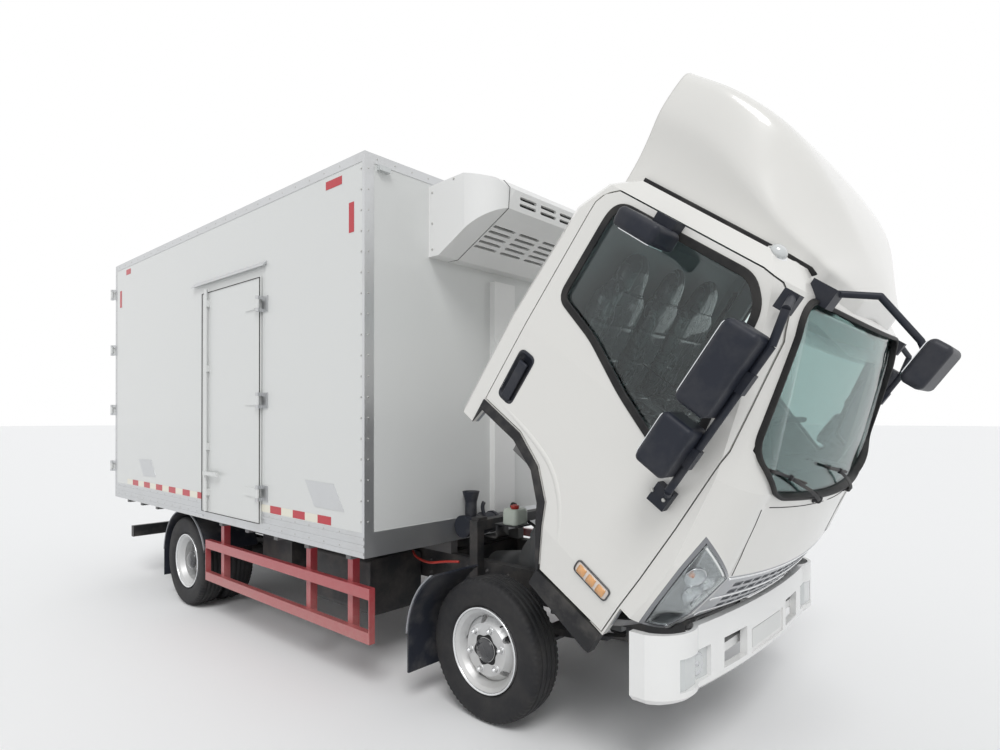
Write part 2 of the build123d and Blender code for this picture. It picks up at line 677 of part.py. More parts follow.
keep(mudguards, "mudguards")

# Front bumper: curved shell with lamp, tow and plate recesses
BUMPER_Z = (440, 728)
BUMPER_WALL = 34
BUMPER_SIDE_X = 2780
BUMPER_NOSE_X = 3008
BUMPER_HALF = 978
BUMPER_BAR_X = 2908
TOW_SOCKET_Y = 430
TOW_SOCKET_RADIUS = 11
FOG_Y = (620, 880)
FOG_Z = (490, 625)


def bumper_outline(inset):
    """Plan outline of the bumper's outer face, moved inwards by inset."""
    half = BUMPER_HALF - inset
    knee_x = BUMPER_NOSE_X - 46 - inset
    knee_y = 720 - inset * 0.5
    return half, knee_x, knee_y


def bumper_solid(inset, z_range, rear_x):
    """Prism of the bumper's plan, from its rear line to its nose."""
    half, knee_x, knee_y = bumper_outline(inset)
    side_x = 2850
    with BuildPart() as shape:
        with BuildSketch(Plane.XY.offset(z_range[0])):
            with BuildLine():
                Polyline((rear_x, half), (side_x, half))
                ThreePointArc((side_x, half), (side_x + 78, half - 55), (knee_x, knee_y))
                ThreePointArc((knee_x, knee_y), (BUMPER_NOSE_X - inset, 0), (knee_x, -knee_y))
                ThreePointArc((knee_x, -knee_y), (side_x + 78, -(half - 55)), (side_x, -half))
                Polyline((side_x, -half), (rear_x, -half), (rear_x, half))
            make_face()
        extrude(amount=z_range[1] - z_range[0])
    return shape.part


with BuildPart() as bumper:
    add(bumper_solid(0, BUMPER_Z, BUMPER_SIDE_X))
    outer_edges = bumper.faces().sort_by(Axis.Z)[0].edges().sort_by(Axis.X)[1:]
    chamfer(outer_edges, 26)
    add(bumper_solid(BUMPER_WALL, (BUMPER_Z[0] - 1, BUMPER_Z[1] + 1), BUMPER_SIDE_X - 10), mode=Mode.SUBTRACT)
    for side in (-1, 1):
        add(block((2800, 3050), sorted((side * FOG_Y[0], side * FOG_Y[1])), FOG_Z), mode=Mode.SUBTRACT)
        add(block((2900, 3050), sorted((side * 275, side * 505)), (490, 625)), mode=Mode.SUBTRACT)
    add(block((2996, 3050), (-225, 225), (480, 600)), mode=Mode.SUBTRACT)
    for side in (-1, 1):
        y_pair = sorted((side * (RAIL_IN_Y + 10), side * RAIL_OUT_Y))
        add(block((RAIL_FRONT_X, BUMPER_BAR_X), y_pair, (RAIL_BOTTOM + 20, RAIL_BOTTOM + 60)))
    add(block((BUMPER_BAR_X - 1, BUMPER_BAR_X + 42), (-600, 600), (RAIL_BOTTOM + 20, RAIL_BOTTOM + 60)))
    with BuildSketch(across(BUMPER_BAR_X - 2)):
        with Locations((-TOW_SOCKET_Y, RAIL_BOTTOM + 40), (TOW_SOCKET_Y, RAIL_BOTTOM + 40)):
            Circle(TOW_SOCKET_RADIUS)
    extrude(amount=46, mode=Mode.SUBTRACT)
keep(bumper, "bumper")

# Lamps on the chassis: front fog lamps, tail lamps and the box's marker lamps
def fog_solid(side):
    """Fog lamp behind its opening, with its lens parallel to the bumper's face."""
    with BuildPart() as fog:
        add(block((2860, 2960), sorted((side * FOG_Y[0], side * FOG_Y[1])), FOG_Z))
        add(bumper_solid(18, (480, 640), 2700), mode=Mode.INTERSECT)
    return fog.part


with BuildPart() as lamps:
    for side in (-1, 1):
        add(fog_solid(side))
        add(block((UNDERRUN_X - 60, UNDERRUN_X - 30), sorted((side * 640, side * 980)), (UNDERRUN_Z - 45, UNDERRUN_Z + 45)))
        add(block((BOX_FRONT_X, BOX_FRONT_X + 28), sorted((side * 960, side * 1040)), (3020, 3050)))
keep(lamps, "lamps")

# Cab mounts: hinge brackets and torsion bar at the front, rest hoop behind the engine
PIVOT_BAR_RADIUS = 24
PIVOT_HALF = 520
HOOP_X = 1362
HOOP_HALF = 34
HOOP_TOP = 955
HOOP_BEAM = 60
PAD_HEIGHT = 18
PAD_Y = (340, 420)
with BuildPart() as cab_mounts:
    add(rod((TILT_PIVOT_X, -PIVOT_HALF, TILT_PIVOT_Z), (TILT_PIVOT_X, PIVOT_HALF, TILT_PIVOT_Z), PIVOT_BAR_RADIUS))
    for side in (-1, 1):
        y_pair = sorted((side * (RAIL_OUT_Y - 46), side * (RAIL_OUT_Y - 14)))
        add(block((RAIL_FRONT_X, TILT_PIVOT_X + 10), y_pair, (TILT_PIVOT_Z - 46, TILT_PIVOT_Z + 30)))
        y_pair = sorted((side * RAIL_OUT_Y, side * (RAIL_OUT_Y + HOOP_POST)))
        add(block((HOOP_X - HOOP_HALF, HOOP_X + HOOP_HALF), y_pair, (RAIL_MID_Z - 60, HOOP_TOP)))
    hoop_reach = RAIL_OUT_Y + HOOP_POST
    add(block((HOOP_X - HOOP_HALF, HOOP_X + HOOP_HALF), (-hoop_reach, hoop_reach), (HOOP_TOP - HOOP_BEAM, HOOP_TOP)))
    for side in (-1, 1):
        y_pair = sorted((side * PAD_Y[0], side * PAD_Y[1]))
        add(block((HOOP_X - HOOP_HALF + 4, HOOP_X + HOOP_HALF - 4), y_pair, (HOOP_TOP - 1, HOOP_TOP + PAD_HEIGHT)))
keep(cab_mounts, "cab_mounts")

# Air cleaner behind the hoop, with its ribbed lid, its upright snorkel and a flared mouth
CLEANER_RADIUS = 71
CLEANER_X = HOOP_X - HOOP_HALF - RUNNING_CLEARANCE - CLEANER_RADIUS
CLEANER_Z = 905
CLEANER_Y = (-430, -130)
SNORKEL_Y = -350
with BuildPart() as air_intake:
    add(rod((CLEANER_X, CLEANER_Y[0], CLEANER_Z), (CLEANER_X, CLEANER_Y[1], CLEANER_Z), CLEANER_RADIUS - 7))
    for share in (0.0, 0.3, 0.6, 0.9):
        y = CLEANER_Y[0] + share * (CLEANER_Y[1] - CLEANER_Y[0])
        add(rod((CLEANER_X, y, CLEANER_Z), (CLEANER_X, y + 22, CLEANER_Z), CLEANER_RADIUS))
    add(rod((CLEANER_X, SNORKEL_Y, CLEANER_Z), (CLEANER_X, SNORKEL_Y, CLEANER_Z + 150), 38))
    with Locations((CLEANER_X, SNORKEL_Y, CLEANER_Z + 184)):
        Cone(38, 56, 70)
    with Locations((CLEANER_X, SNORKEL_Y, CLEANER_Z + 190)):
        Cone(31, 50, 60, mode=Mode.SUBTRACT)
keep(air_intake, "air_intake")


# Insulated box
PORTAL_X = BOX_REAR_X + PORTAL_DEPTH
SIDE_INNER = BOX_HALF_WIDTH - WALL
FLOOR_TOP = BOX_BOTTOM + FLOOR_THICKNESS
ROOF_BOTTOM = BOX_TOP - WALL
with BuildPart() as box_floor:
    add(block((PORTAL_X, BOX_FRONT_X - WALL), (-SIDE_INNER, SIDE_INNER), (BOX_BOTTOM, FLOOR_TOP)))
    for side in (-1, 1):
        y_pair = sorted((side * RAIL_IN_Y, side * RAIL_OUT_Y))
        add(block((PORTAL_X, BOX_FRONT_X - WALL), y_pair, (RAIL_TOP, BOX_BOTTOM + 1)))
    for positions, reach in ((FULL_BEARERS, SIDE_INNER), (SHORT_BEARERS, SHORT_REACH)):
        for x in positions:
            x_pair = (x - BEARER_WIDTH / 2, x + BEARER_WIDTH / 2)
            add(block(x_pair, (-reach, reach), (BOX_BOTTOM - BEARER_DEPTH, BOX_BOTTOM + 1)))
keep(box_floor, "box_floor")

with BuildPart() as box_roof:
    add(block((PORTAL_X, BOX_FRONT_X), (-BOX_HALF_WIDTH, BOX_HALF_WIDTH), (ROOF_BOTTOM, BOX_TOP)))
keep(box_roof, "box_roof")

with BuildPart() as box_front_wall:
    add(block((BOX_FRONT_X - WALL, BOX_FRONT_X), (-SIDE_INNER, SIDE_INNER), (BOX_BOTTOM, ROOF_BOTTOM)))
keep(box_front_wall, "box_front_wall")

with BuildPart() as box_left_wall:
    add(block((PORTAL_X, BOX_FRONT_X), (SIDE_INNER, BOX_HALF_WIDTH), (BOX_BOTTOM, ROOF_BOTTOM)))
keep(box_left_wall, "box_left_wall")

with BuildPart() as box_right_wall:
    add(block((PORTAL_X, BOX_FRONT_X), (-BOX_HALF_WIDTH, -SIDE_INNER), (BOX_BOTTOM, ROOF_BOTTOM)))
    add(
        block(
            (SIDE_DOOR_REAR_X, SIDE_DOOR_FRONT_X),
            (-BOX_HALF_WIDTH - 1, -SIDE_INNER + 1),
            (SIDE_DOOR_BOTTOM, SIDE_DOOR_TOP),
        ),
        mode=Mode.SUBTRACT,
    )
keep(box_right_wall, "box_right_wall")

# Aluminium trims: ribbed base rails, corner posts, top trims and the rain gutter over the side door
POST_WIDTH = 62
BASE_RIBS = (26, 68, 110)
RIB_HEIGHT = 14
RIB_PROUD = 5
GUTTER_X = (-1098, 68)
GUTTER_Z = 2634
GUTTER_REACH = 30
door_foot_x = (SIDE_DOOR_REAR_X - DOOR_LAP - DOOR_GAP, SIDE_DOOR_FRONT_X + DOOR_LAP + DOOR_GAP)
gutter_outline = [
    (-BOX_HALF_WIDTH, GUTTER_Z + 37),
    (-BOX_HALF_WIDTH - GUTTER_REACH, GUTTER_Z + 8),
    (-BOX_HALF_WIDTH - GUTTER_REACH, GUTTER_Z),
    (-BOX_HALF_WIDTH - GUTTER_REACH + 6, GUTTER_Z),
    (-BOX_HALF_WIDTH, GUTTER_Z + 24),
]
with BuildPart() as box_trims:
    add(prism_x(gutter_outline, *GUTTER_X))
    for side in (-1, 1):
        y_pair = sorted((side * BOX_HALF_WIDTH, side * (BOX_HALF_WIDTH + TRIM)))
        add(block((PORTAL_X, BOX_FRONT_X), y_pair, (BOX_BOTTOM, BOX_BOTTOM + BASE_RAIL_HEIGHT)))
        rib_y = sorted((side * (BOX_HALF_WIDTH + TRIM - 1), side * (BOX_HALF_WIDTH + TRIM + RIB_PROUD)))
        spans = ((PORTAL_X, BOX_FRONT_X),) if side > 0 else ((PORTAL_X, door_foot_x[0]), (door_foot_x[1], BOX_FRONT_X))
        for rise in BASE_RIBS:
            for span in spans:
                add(block(span, rib_y, (BOX_BOTTOM + rise - RIB_HEIGHT / 2, BOX_BOTTOM + rise + RIB_HEIGHT / 2)))
        add(block((BOX_FRONT_X - 20, BOX_FRONT_X), y_pair, (BOX_BOTTOM, BOX_TOP)))
        add(block((PORTAL_X, BOX_FRONT_X), y_pair, (BOX_TOP - 55, BOX_TOP)))
        y_pair = sorted((side * (BOX_HALF_WIDTH + TRIM), side * (BOX_HALF_WIDTH - POST_WIDTH)))
        add(block((BOX_FRONT_X, BOX_FRONT_X + TRIM), y_pair, (BOX_BOTTOM, BOX_TOP)))
    add(
        block(
            (BOX_FRONT_X, BOX_FRONT_X + TRIM),
            (-BOX_HALF_WIDTH, BOX_HALF_WIDTH),
            (BOX_BOTTOM, BOX_BOTTOM + BASE_RAIL_HEIGHT),
        )
    )
    add(block((BOX_FRONT_X, BOX_FRONT_X + TRIM), (-BOX_HALF_WIDTH, BOX_HALF_WIDTH), (BOX_TOP - 55, BOX_TOP)))
keep(box_trims, "box_trims")

# Stainless rear portal, with the fixed halves of the rear door hinges and their pins
PORTAL_SIDE = 62
PORTAL_SILL = 120
PORTAL_HEAD = 96
HINGE_PIN_X = BOX_REAR_X - 52
HINGE_PIN_Y = 1140
HINGE_PIN_RADIUS = 8
KNUCKLE_RADIUS = 14
HINGE_ROWS = (1080, 1640, 2240, 2800)
HINGE_HEIGHT = 60
HINGE_PLATE = 8
REAR_DOOR_THICK = 70
REAR_DOOR_PROUD = 12
REAR_DOOR_FACE = BOX_REAR_X - REAR_DOOR_PROUD
ROD_RADIUS = 13


def hinge_leaf(side, from_x, from_y, z_low, z_high, bore):
    """Strap between a plate corner and the rear hinge pin, with a round knuckle about the pin."""
    run = Vector(HINGE_PIN_X - from_x, side * HINGE_PIN_Y - from_y)
    out = Vector(-run.Y, run.X).normalized() * (HINGE_PLATE / 2)
    start = Vector(from_x, from_y)
    pin = Vector(HINGE_PIN_X, side * HINGE_PIN_Y)
    with BuildPart() as leaf:
        with BuildSketch(Plane.XY.offset(z_low)):
            with BuildLine():
                Polyline(start + out, pin + out, pin - out, start - out, close=True)
            make_face()
            with Locations(pin):
                Circle(KNUCKLE_RADIUS)
                Circle(bore, mode=Mode.SUBTRACT)
        extrude(amount=z_high - z_low)
    return leaf.part


with BuildPart() as rear_portal:
    add(block((BOX_REAR_X, PORTAL_X), (-BOX_HALF_WIDTH, BOX_HALF_WIDTH), (BOX_BOTTOM, BOX_TOP)))
    add(
        block(
            (BOX_REAR_X - 1, PORTAL_X + 1),
            (-BOX_HALF_WIDTH + PORTAL_SIDE, BOX_HALF_WIDTH - PORTAL_SIDE),
            (BOX_BOTTOM + PORTAL_SILL, BOX_TOP - PORTAL_HEAD),
        ),
        mode=Mode.SUBTRACT,
    )
    for side in (-1, 1):
        for z in HINGE_ROWS:
            for z_low, z_high in ((z - 22, z - 1), (z + HINGE_HEIGHT + 1, z + HINGE_HEIGHT + 22)):
                add(hinge_leaf(side, BOX_REAR_X + 2, side * (BOX_HALF_WIDTH - 6), z_low, z_high, 1))
            x, y = HINGE_PIN_X, side * HINGE_PIN_Y
            add(rod((x, y, z - 22), (x, y, z + HINGE_HEIGHT + 22), HINGE_PIN_RADIUS))
keep(rear_portal, "rear_portal")

# Rear doors, each with its two lock rods, cams and hinge straps
rear_door_out = BOX_HALF_WIDTH - PORTAL_SIDE - DOOR_GAP
rear_door_z = (BOX_BOTTOM + PORTAL_SILL + DOOR_GAP, BOX_TOP - PORTAL_HEAD - DOOR_GAP)
for name, side in SIDES.items():
    with BuildPart() as rear_door:
        y_pair = sorted((side * DOOR_GAP / 2, side * rear_door_out))
        add(block((REAR_DOOR_FACE, REAR_DOOR_FACE + REAR_DOOR_THICK), y_pair, rear_door_z))
        for share in (0.22, 0.68):
            y = side * rear_door_out * share
            x = REAR_DOOR_FACE - ROD_RADIUS - 4
            add(rod((x, y, rear_door_z[0] - 30), (x, y, rear_door_z[1] + 30), ROD_RADIUS))
            for z in (rear_door_z[0] + 60, 1300, 1900, rear_door_z[1] - 90):
                add(block((x - 8, REAR_DOOR_FACE + 1), (y - 28, y + 28), (z, z + 50)))
            add(block((x - 20, x - 6), sorted((y, y + side * 210)), (1180, 1206)))
        for z in HINGE_ROWS:
            y_pair = sorted((side * (rear_door_out - 210), side * rear_door_out))
            add(block((REAR_DOOR_FACE - HINGE_PLATE, REAR_DOOR_FACE + 1), y_pair, (z, z + HINGE_HEIGHT)))
            bore = HINGE_PIN_RADIUS + RUNNING_CLEARANCE
            x = REAR_DOOR_FACE - HINGE_PLATE / 2
            add(hinge_leaf(side, x, side * (rear_door_out - 2), z, z + HINGE_HEIGHT, bore))
    keep(rear_door, f"rear_door_{name}")

# Fixed halves of the side door's hinges, on the wall in front of the door
SIDE_HINGE_X = 18
SIDE_HINGE_Y = -1166
SIDE_HINGE_ROWS = (1081, 1716, 2377)
with BuildPart() as side_hinges:
    for z in SIDE_HINGE_ROWS:
        x, y = SIDE_HINGE_X, SIDE_HINGE_Y
        for z_low in (z - 54, z + 31):
            add(block((x - 6, x + 6), (y, -BOX_HALF_WIDTH), (z_low, z_low + 23)))
            add(rod((x, y, z_low), (x, y, z_low + 23), KNUCKLE_RADIUS))
        add(block((x - 6, x + 70), (-BOX_HALF_WIDTH - HINGE_PLATE, -BOX_HALF_WIDTH), (z - 54, z + 54)))
        add(rod((x, y, z - 54), (x, y, z + 54), HINGE_PIN_RADIUS))
keep(side_hinges, "side_hinges")

# Side door with its lock rod, handle and hinges
with BuildPart() as side_door:
    add(
        block(
            (SIDE_DOOR_REAR_X + DOOR_GAP, SIDE_DOOR_FRONT_X - DOOR_GAP),
            (-BOX_HALF_WIDTH - DOOR_SKIN, -SIDE_INNER - 4),
            (SIDE_DOOR_BOTTOM + DOOR_GAP, SIDE_DOOR_TOP - DOOR_GAP),
        )
    )
    add(
        block(
            (SIDE_DOOR_REAR_X - DOOR_LAP, SIDE_DOOR_FRONT_X + DOOR_LAP),
            (-BOX_HALF_WIDTH - DOOR_SKIN, -BOX_HALF_WIDTH - TRIM - 1),
            (SIDE_DOOR_BOTTOM - DOOR_FOOT, SIDE_DOOR_TOP + DOOR_LAP),
        )
    )
    rod_x = -809
    rod_y = -BOX_HALF_WIDTH - DOOR_SKIN - ROD_RADIUS - 6
    add(rod((rod_x, rod_y, 880), (rod_x, rod_y, 2585), ROD_RADIUS))
    for z in (1000, 1350, 1950, 2450):
        add(block((rod_x - 28, rod_x + 28), (rod_y - 6, -BOX_HALF_WIDTH - DOOR_SKIN + 1), (z, z + 50)))
    add(block((rod_x, rod_x + 230), (rod_y - 26, rod_y - 6), (1160, 1186)))
    for z in SIDE_HINGE_ROWS:
        z_pair = (z - 30, z + 30)
        skin_y = -BOX_HALF_WIDTH - DOOR_SKIN
        add(block((SIDE_DOOR_FRONT_X - 190, SIDE_DOOR_FRONT_X - 20), (skin_y - HINGE_PLATE, skin_y + 1), z_pair))
        add(block((SIDE_DOOR_FRONT_X - 30, SIDE_DOOR_FRONT_X - 20), (SIDE_HINGE_Y, skin_y), z_pair))
        add(block((SIDE_DOOR_FRONT_X - 30, SIDE_HINGE_X), (SIDE_HINGE_Y - 5, SIDE_HINGE_Y + 5), z_pair))
        x, y = SIDE_HINGE_X, SIDE_HINGE_Y
        add(rod((x, y, z - 30), (x, y, z + 30), KNUCKLE_RADIUS))
        add(rod((x, y, z - 31), (x, y, z + 31), HINGE_PIN_RADIUS + RUNNING_CLEARANCE), mode=Mode.SUBTRACT)
keep(side_door, "side_door")

# Refrigeration unit on the front wall
UNIT_HALF = 643
UNIT_BOTTOM = 2596
UNIT_TOP = 3060
UNIT_NOSE_X = 1700
unit_profile = [
    (BOX_FRONT_X, UNIT_BOTTOM),
    (BOX_FRONT_X + 90, UNIT_BOTTOM),
    (1640, 2800),
    (1690, 2830),
    (UNIT_NOSE_X, 2950),
    (1655, 3000),
    (1480, 3045),
    (BOX_FRONT_X, UNIT_TOP - 25),
]
# Air slots, five rows on the sloping face and two on the nose, and the cable duct below the unit
SLOT_LENGTH = 200
SLOT_WIDTH = 20
SLOT_PITCH = 46
SLOT_PITCH_Y = 240
SLOT_DEPTH = 36
DUCT_Y = 23
DUCT_HALF = 105
DUCT_DEPTH = 46
slope_low = Vector(unit_profile[1][0], 0, unit_profile[1][1])
slope_high = Vector(unit_profile[2][0], 0, unit_profile[2][1])
slope_run = (slope_high - slope_low).normalized()
slope_plane = Plane(
    origin=slope_low + (slope_high - slope_low) * 0.56,
    x_dir=(0, 1, 0),
    z_dir=(slope_run.Z, 0, -slope_run.X),
)
with BuildPart() as reefer_unit:
    add(prism_y(unit_profile, -UNIT_HALF, UNIT_HALF))
    with BuildSketch(Plane.XY.offset(UNIT_BOTTOM - 10)) as unit_plan:
        with BuildLine():
            Polyline((BOX_FRONT_X, -UNIT_HALF), (1450, -UNIT_HALF))
            ThreePointArc((1450, -UNIT_HALF), (1630, -UNIT_HALF + 65), (UNIT_NOSE_X, -UNIT_HALF + 230))
            Line((UNIT_NOSE_X, -UNIT_HALF + 230), (UNIT_NOSE_X, UNIT_HALF - 230))
            ThreePointArc((UNIT_NOSE_X, UNIT_HALF - 230), (1630, UNIT_HALF - 65), (1450, UNIT_HALF))
            Polyline((1450, UNIT_HALF), (BOX_FRONT_X, UNIT_HALF), (BOX_FRONT_X, -UNIT_HALF))
        make_face()
    extrude(amount=UNIT_TOP - UNIT_BOTTOM + 20, mode=Mode.INTERSECT)
    with BuildSketch(slope_plane):
        with GridLocations(SLOT_PITCH_Y, SLOT_PITCH, 4, 5):
            SlotOverall(SLOT_LENGTH, SLOT_WIDTH)
    extrude(amount=-SLOT_DEPTH, mode=Mode.SUBTRACT)
    with BuildSketch(across(UNIT_NOSE_X + 1)):
        with Locations((0, 2892)):
            with GridLocations(SLOT_PITCH_Y - 40, 38, 4, 2):
                SlotOverall(SLOT_LENGTH - 40, SLOT_WIDTH)
    extrude(amount=-SLOT_DEPTH, mode=Mode.SUBTRACT)
    duct_z = (BOX_BOTTOM + BASE_RAIL_HEIGHT + 1, UNIT_BOTTOM - 66)
    add(block((BOX_FRONT_X, BOX_FRONT_X + DUCT_DEPTH), (DUCT_Y - DUCT_HALF, DUCT_Y + DUCT_HALF), duct_z))
keep(reefer_unit, "reefer_unit")

# Cab shell sections, lowered cab: Z, rear X, half width, side end X, knee X, knee Y, nose X
CAB_SECTIONS = (
    (445, 1414, 952, 2640, 2790, 760, 2840),
    (745, 1414, 990, 2725, 2835, 715, 2868),
    (860, 1414, 990, 2735, 2866, 705, 2915),
    (1060, 1414, 990, 2735, 2868, 700, 2925),
    (1440, 1414, 985, 2668, 2792, 670, 2850),
    (2003, 1440, 952, 2470, 2566, 740, 2640),
    (2150, 1525, 936, 2395, 2495, 740, 2566),
    (2222, 1610, 868, 2300, 2395, 660, 2450),
)


def cab_block(inset):
    """Closed solid inside the cab's outer skin, moved inwards by inset on every side but the bottom."""
    with BuildPart() as body:
        sections = []
        last = len(CAB_SECTIONS) - 1
        for row, (z, rear, half, side_end, knee_x, knee_y, nose) in enumerate(CAB_SECTIONS):
            z_here = z - inset if row == last else z
            half -= inset
            rear += inset
            knee_x -= inset * 0.9
            knee_y -= inset * 0.5
            nose -= inset
            corner = 40
            with BuildSketch(Plane.XY.offset(z_here)) as section:
                with BuildLine():
                    Line((rear, half - corner), (rear + corner, half))
                    Line((rear + corner, half), (side_end, half))
                    bulge_x = side_end + (knee_x - side_end) * 0.62
                    bulge_y = half - (half - knee_y) * 0.30
                    ThreePointArc((side_end, half), (bulge_x, bulge_y), (knee_x, knee_y))
                    ThreePointArc((knee_x, knee_y), (nose, 0), (knee_x, -knee_y))
                    ThreePointArc((knee_x, -knee_y), (bulge_x, -bulge_y), (side_end, -half))
                    Line((side_end, -half), (rear + corner, -half))
                    Line((rear + corner, -half), (rear, -half + corner))
                    Line((rear, -half + corner), (rear, half - corner))
                make_face()
            sections.append(section.sketch)
        loft(sections=sections, ruled=True)
    return body.part


CAB_SILL = 445
ROOF_TOP = CAB_SECTIONS[-1][0]
CAB_REAR_LOW = 873
CAB_SIDE_LOW = 580
# Wheel arch line on the cab's side, from its rear lower corner to the sill
ARCH_LINE = [(1300, 873), (1536, 873), (1556, 961), (1807, 964), (1973, 915), (2088, 816), (2249, 547), (2252, 400)]
ARCH_TRIM_WIDTH = 52
DOOR_LINE = [
    (1536, 2060),
    (1560, 2110),
    (1620, 2150),
    (2342, 2158),
    (2429, 2146),
    (2482, 2105),
    (2547, 1970),
    (2605, 1730),
    (2647, 1549),
    (2663, 1181),
    (2667, 914),
    (2663, 585),
    (2262, 556),
    (2120, 850),
    (1990, 958),
    (1815, 1016),
    (1536, 1014),
]
WINDOW_LINE = [
    (1640, 1640),
    (1640, 2060),
    (1680, 2100),
    (2330, 2110),
    (2420, 2030),
    (2545, 1400),
    (2520, 1350),
    (2370, 1400),
    (2150, 1470),
    (1889, 1580),
]
WINDSHIELD_LINE = [
    (-640, 1425),
    (640, 1425),
    (890, 1585),
    (825, 2085),
    (775, 2138),
    (-775, 2138),
    (-825, 2085),
    (-890, 1585),
]
REAR_WINDOW = ((-420, 420), (1640, 2020))
HEADLAMP_LINE = [(1000, 747), (1000, 1267), (700, 1055), (790, 860), (840, 747)]
HEADLAMP_REAR_X = 2756
GRILLE_LINE = [(-690, 1055), (690, 1055), (780, 860), (830, 752), (-830, 752), (-780, 860)]
CAB_FRONT_LOW = 750
ROOF_SPLIT = 2190
REAR_SPLIT = 1414 + CAB_WALL
REST_CLEARANCE = 6
LAMP_RIM = 14
LAMP_DEPTH = 30
# Grille openings: pitch and size across and up, their number, and the height of their middle
GRILLE_PITCH = (92, 44)
GRILLE_HOLE = (80, 26)
GRILLE_COUNT = (13, 5)
GRILLE_MID_Z = 908
# Door handle: centre, size of its recess and depth
HANDLE_X = 1640
HANDLE_Z = 1210
HANDLE_SIZE = (95, 250)
HANDLE_SKIN = 988
HANDLE_DEPTH = 17

cab_outer = cab_block(0)
cab_inner = cab_block(CAB_WALL)
arch_space = prism_y(ARCH_LINE + [(1300, 400)], -1100, 1100)
low_front = block((2672, 3100), (-1100, 1100), (400, CAB_FRONT_LOW))
door_region = prism_y(DOOR_LINE, -1100, -700) + prism_y(DOOR_LINE, 700, 1100)
windshield_region = prism_x(WINDSHIELD_LINE, 2300, 3000)
headlamp_region = [
    prism_x(HEADLAMP_LINE, HEADLAMP_REAR_X, 3000),
    prism_x([(-y, z) for y, z in HEADLAMP_LINE][::-1], HEADLAMP_REAR_X, 3000),
]
grille_region = prism_x(GRILLE_LINE, HEADLAMP_REAR_X, 3000)

with BuildPart() as cab_shell:
    add(cab_outer)
    add(cab_inner, mode=Mode.SUBTRACT)
    add(arch_space, mode=Mode.SUBTRACT)
    add(low_front, mode=Mode.SUBTRACT)
shell = cab_shell.part

FRONT_SPLIT_X = 2672
with BuildPart() as cab_roof:
    add(shell)
    add(block((1300, 3100), (-1100, 1100), (ROOF_SPLIT, 2300)), mode=Mode.INTERSECT)
keep(cab_roof, "cab_roof", on_cab=True)

# Line that parts the side panels from the front panel, following the door's front edge
FRONT_PART_LINE = [(2400, ROOF_SPLIT), (2460, 2120), (2540, 1970), (2598, 1730), (2640, 1549), (2656, 1181), (2656, 400)]
REAR_PART_LINE = [(REAR_SPLIT, CAB_REAR_LOW), (REAR_SPLIT, 1990), (1640, ROOF_SPLIT)]
front_region = prism_y(FRONT_PART_LINE + [(3100, 400), (3100, ROOF_SPLIT)], -1100, 1100)
rear_region = prism_y([(1300, CAB_REAR_LOW)] + REAR_PART_LINE + [(1300, ROOF_SPLIT)], -1100, 1100)

with BuildPart() as cab_rear_wall:
    add(shell)
    add(rear_region, mode=Mode.INTERSECT)
    add(block((1300, 1700), REAR_WINDOW[0], REAR_WINDOW[1]), mode=Mode.SUBTRACT)
    for side in (-1, 1):
        rest_z = HOOP_TOP + PAD_HEIGHT + REST_CLEARANCE
        y_pair = sorted((side * PAD_Y[0], side * PAD_Y[1]))
        add(block((HOOP_X - HOOP_HALF + 8, 1416), y_pair, (rest_z, rest_z + 30)))
keep(cab_rear_wall, "cab_rear_wall", on_cab=True)

with BuildPart() as cab_sides:
    add(shell)
    add(block((1300, 3100), (-1100, 1100), (CAB_SIDE_LOW, ROOF_SPLIT)), mode=Mode.INTERSECT)
    add(rear_region, mode=Mode.SUBTRACT)
    add(front_region, mode=Mode.SUBTRACT)
    add(door_region, mode=Mode.SUBTRACT)
    add(windshield_region, mode=Mode.SUBTRACT)
keep(cab_sides, "cab_sides", on_cab=True)

with BuildPart() as cab_front:
    add(shell)
    add(front_region, mode=Mode.INTERSECT)
    add(block((1300, 3100), (-1100, 1100), (CAB_SIDE_LOW, ROOF_SPLIT)), mode=Mode.INTERSECT)
    add(door_region, mode=Mode.SUBTRACT)
    add(windshield_region, mode=Mode.SUBTRACT)
    add(grille_region, mode=Mode.SUBTRACT)
    for region in headlamp_region:
        add(region, mode=Mode.SUBTRACT)
keep(cab_front, "cab_front", on_cab=True)

def lamp_pocket(side):
    """Volume inside a headlamp's rim, sunk from the cab's outer skin to the reflector floor."""
    with BuildPart() as pocket:
        with BuildSketch(across(HEADLAMP_REAR_X + LAMP_RIM)):
            with BuildLine():
                Polyline(*[(side * y, z) for y, z in HEADLAMP_LINE], close=True)
            make_face()
            offset(amount=-LAMP_RIM, kind=Kind.INTERSECTION)
        extrude(amount=300)
        add(pocket_skin, mode=Mode.INTERSECT)
    return pocket.part


pocket_skin = cab_block(-3) - cab_block(LAMP_DEPTH)
with BuildPart() as headlamps:
    for region in headlamp_region:
        add(common(shell, region))
    for side in (-1, 1):
        add(lamp_pocket(side), mode=Mode.SUBTRACT)
keep(headlamps, "headlamps", on_cab=True)

with BuildPart() as grille:
    add(shell)
    add(grille_region, mode=Mode.INTERSECT)
    for region in headlamp_region:
        add(region, mode=Mode.SUBTRACT)
    with BuildSketch(across(HEADLAMP_REAR_X)):
        with Locations((0, GRILLE_MID_Z)):
            with GridLocations(*GRILLE_PITCH, *GRILLE_COUNT):
                RectangleRounded(*GRILLE_HOLE, 8)
    extrude(amount=300, mode=Mode.SUBTRACT)
keep(grille, "grille", on_cab=True)

glass_shell = cab_block(GLASS_INSET) - cab_block(GLASS_INSET + GLASS)
with BuildPart() as cab_glass:
    add(glass_shell)
    add(windshield_region, mode=Mode.INTERSECT)
    add(block((1420, 1420 + GLASS), REAR_WINDOW[0], REAR_WINDOW[1]))
keep(cab_glass, "cab_glass", on_cab=True)

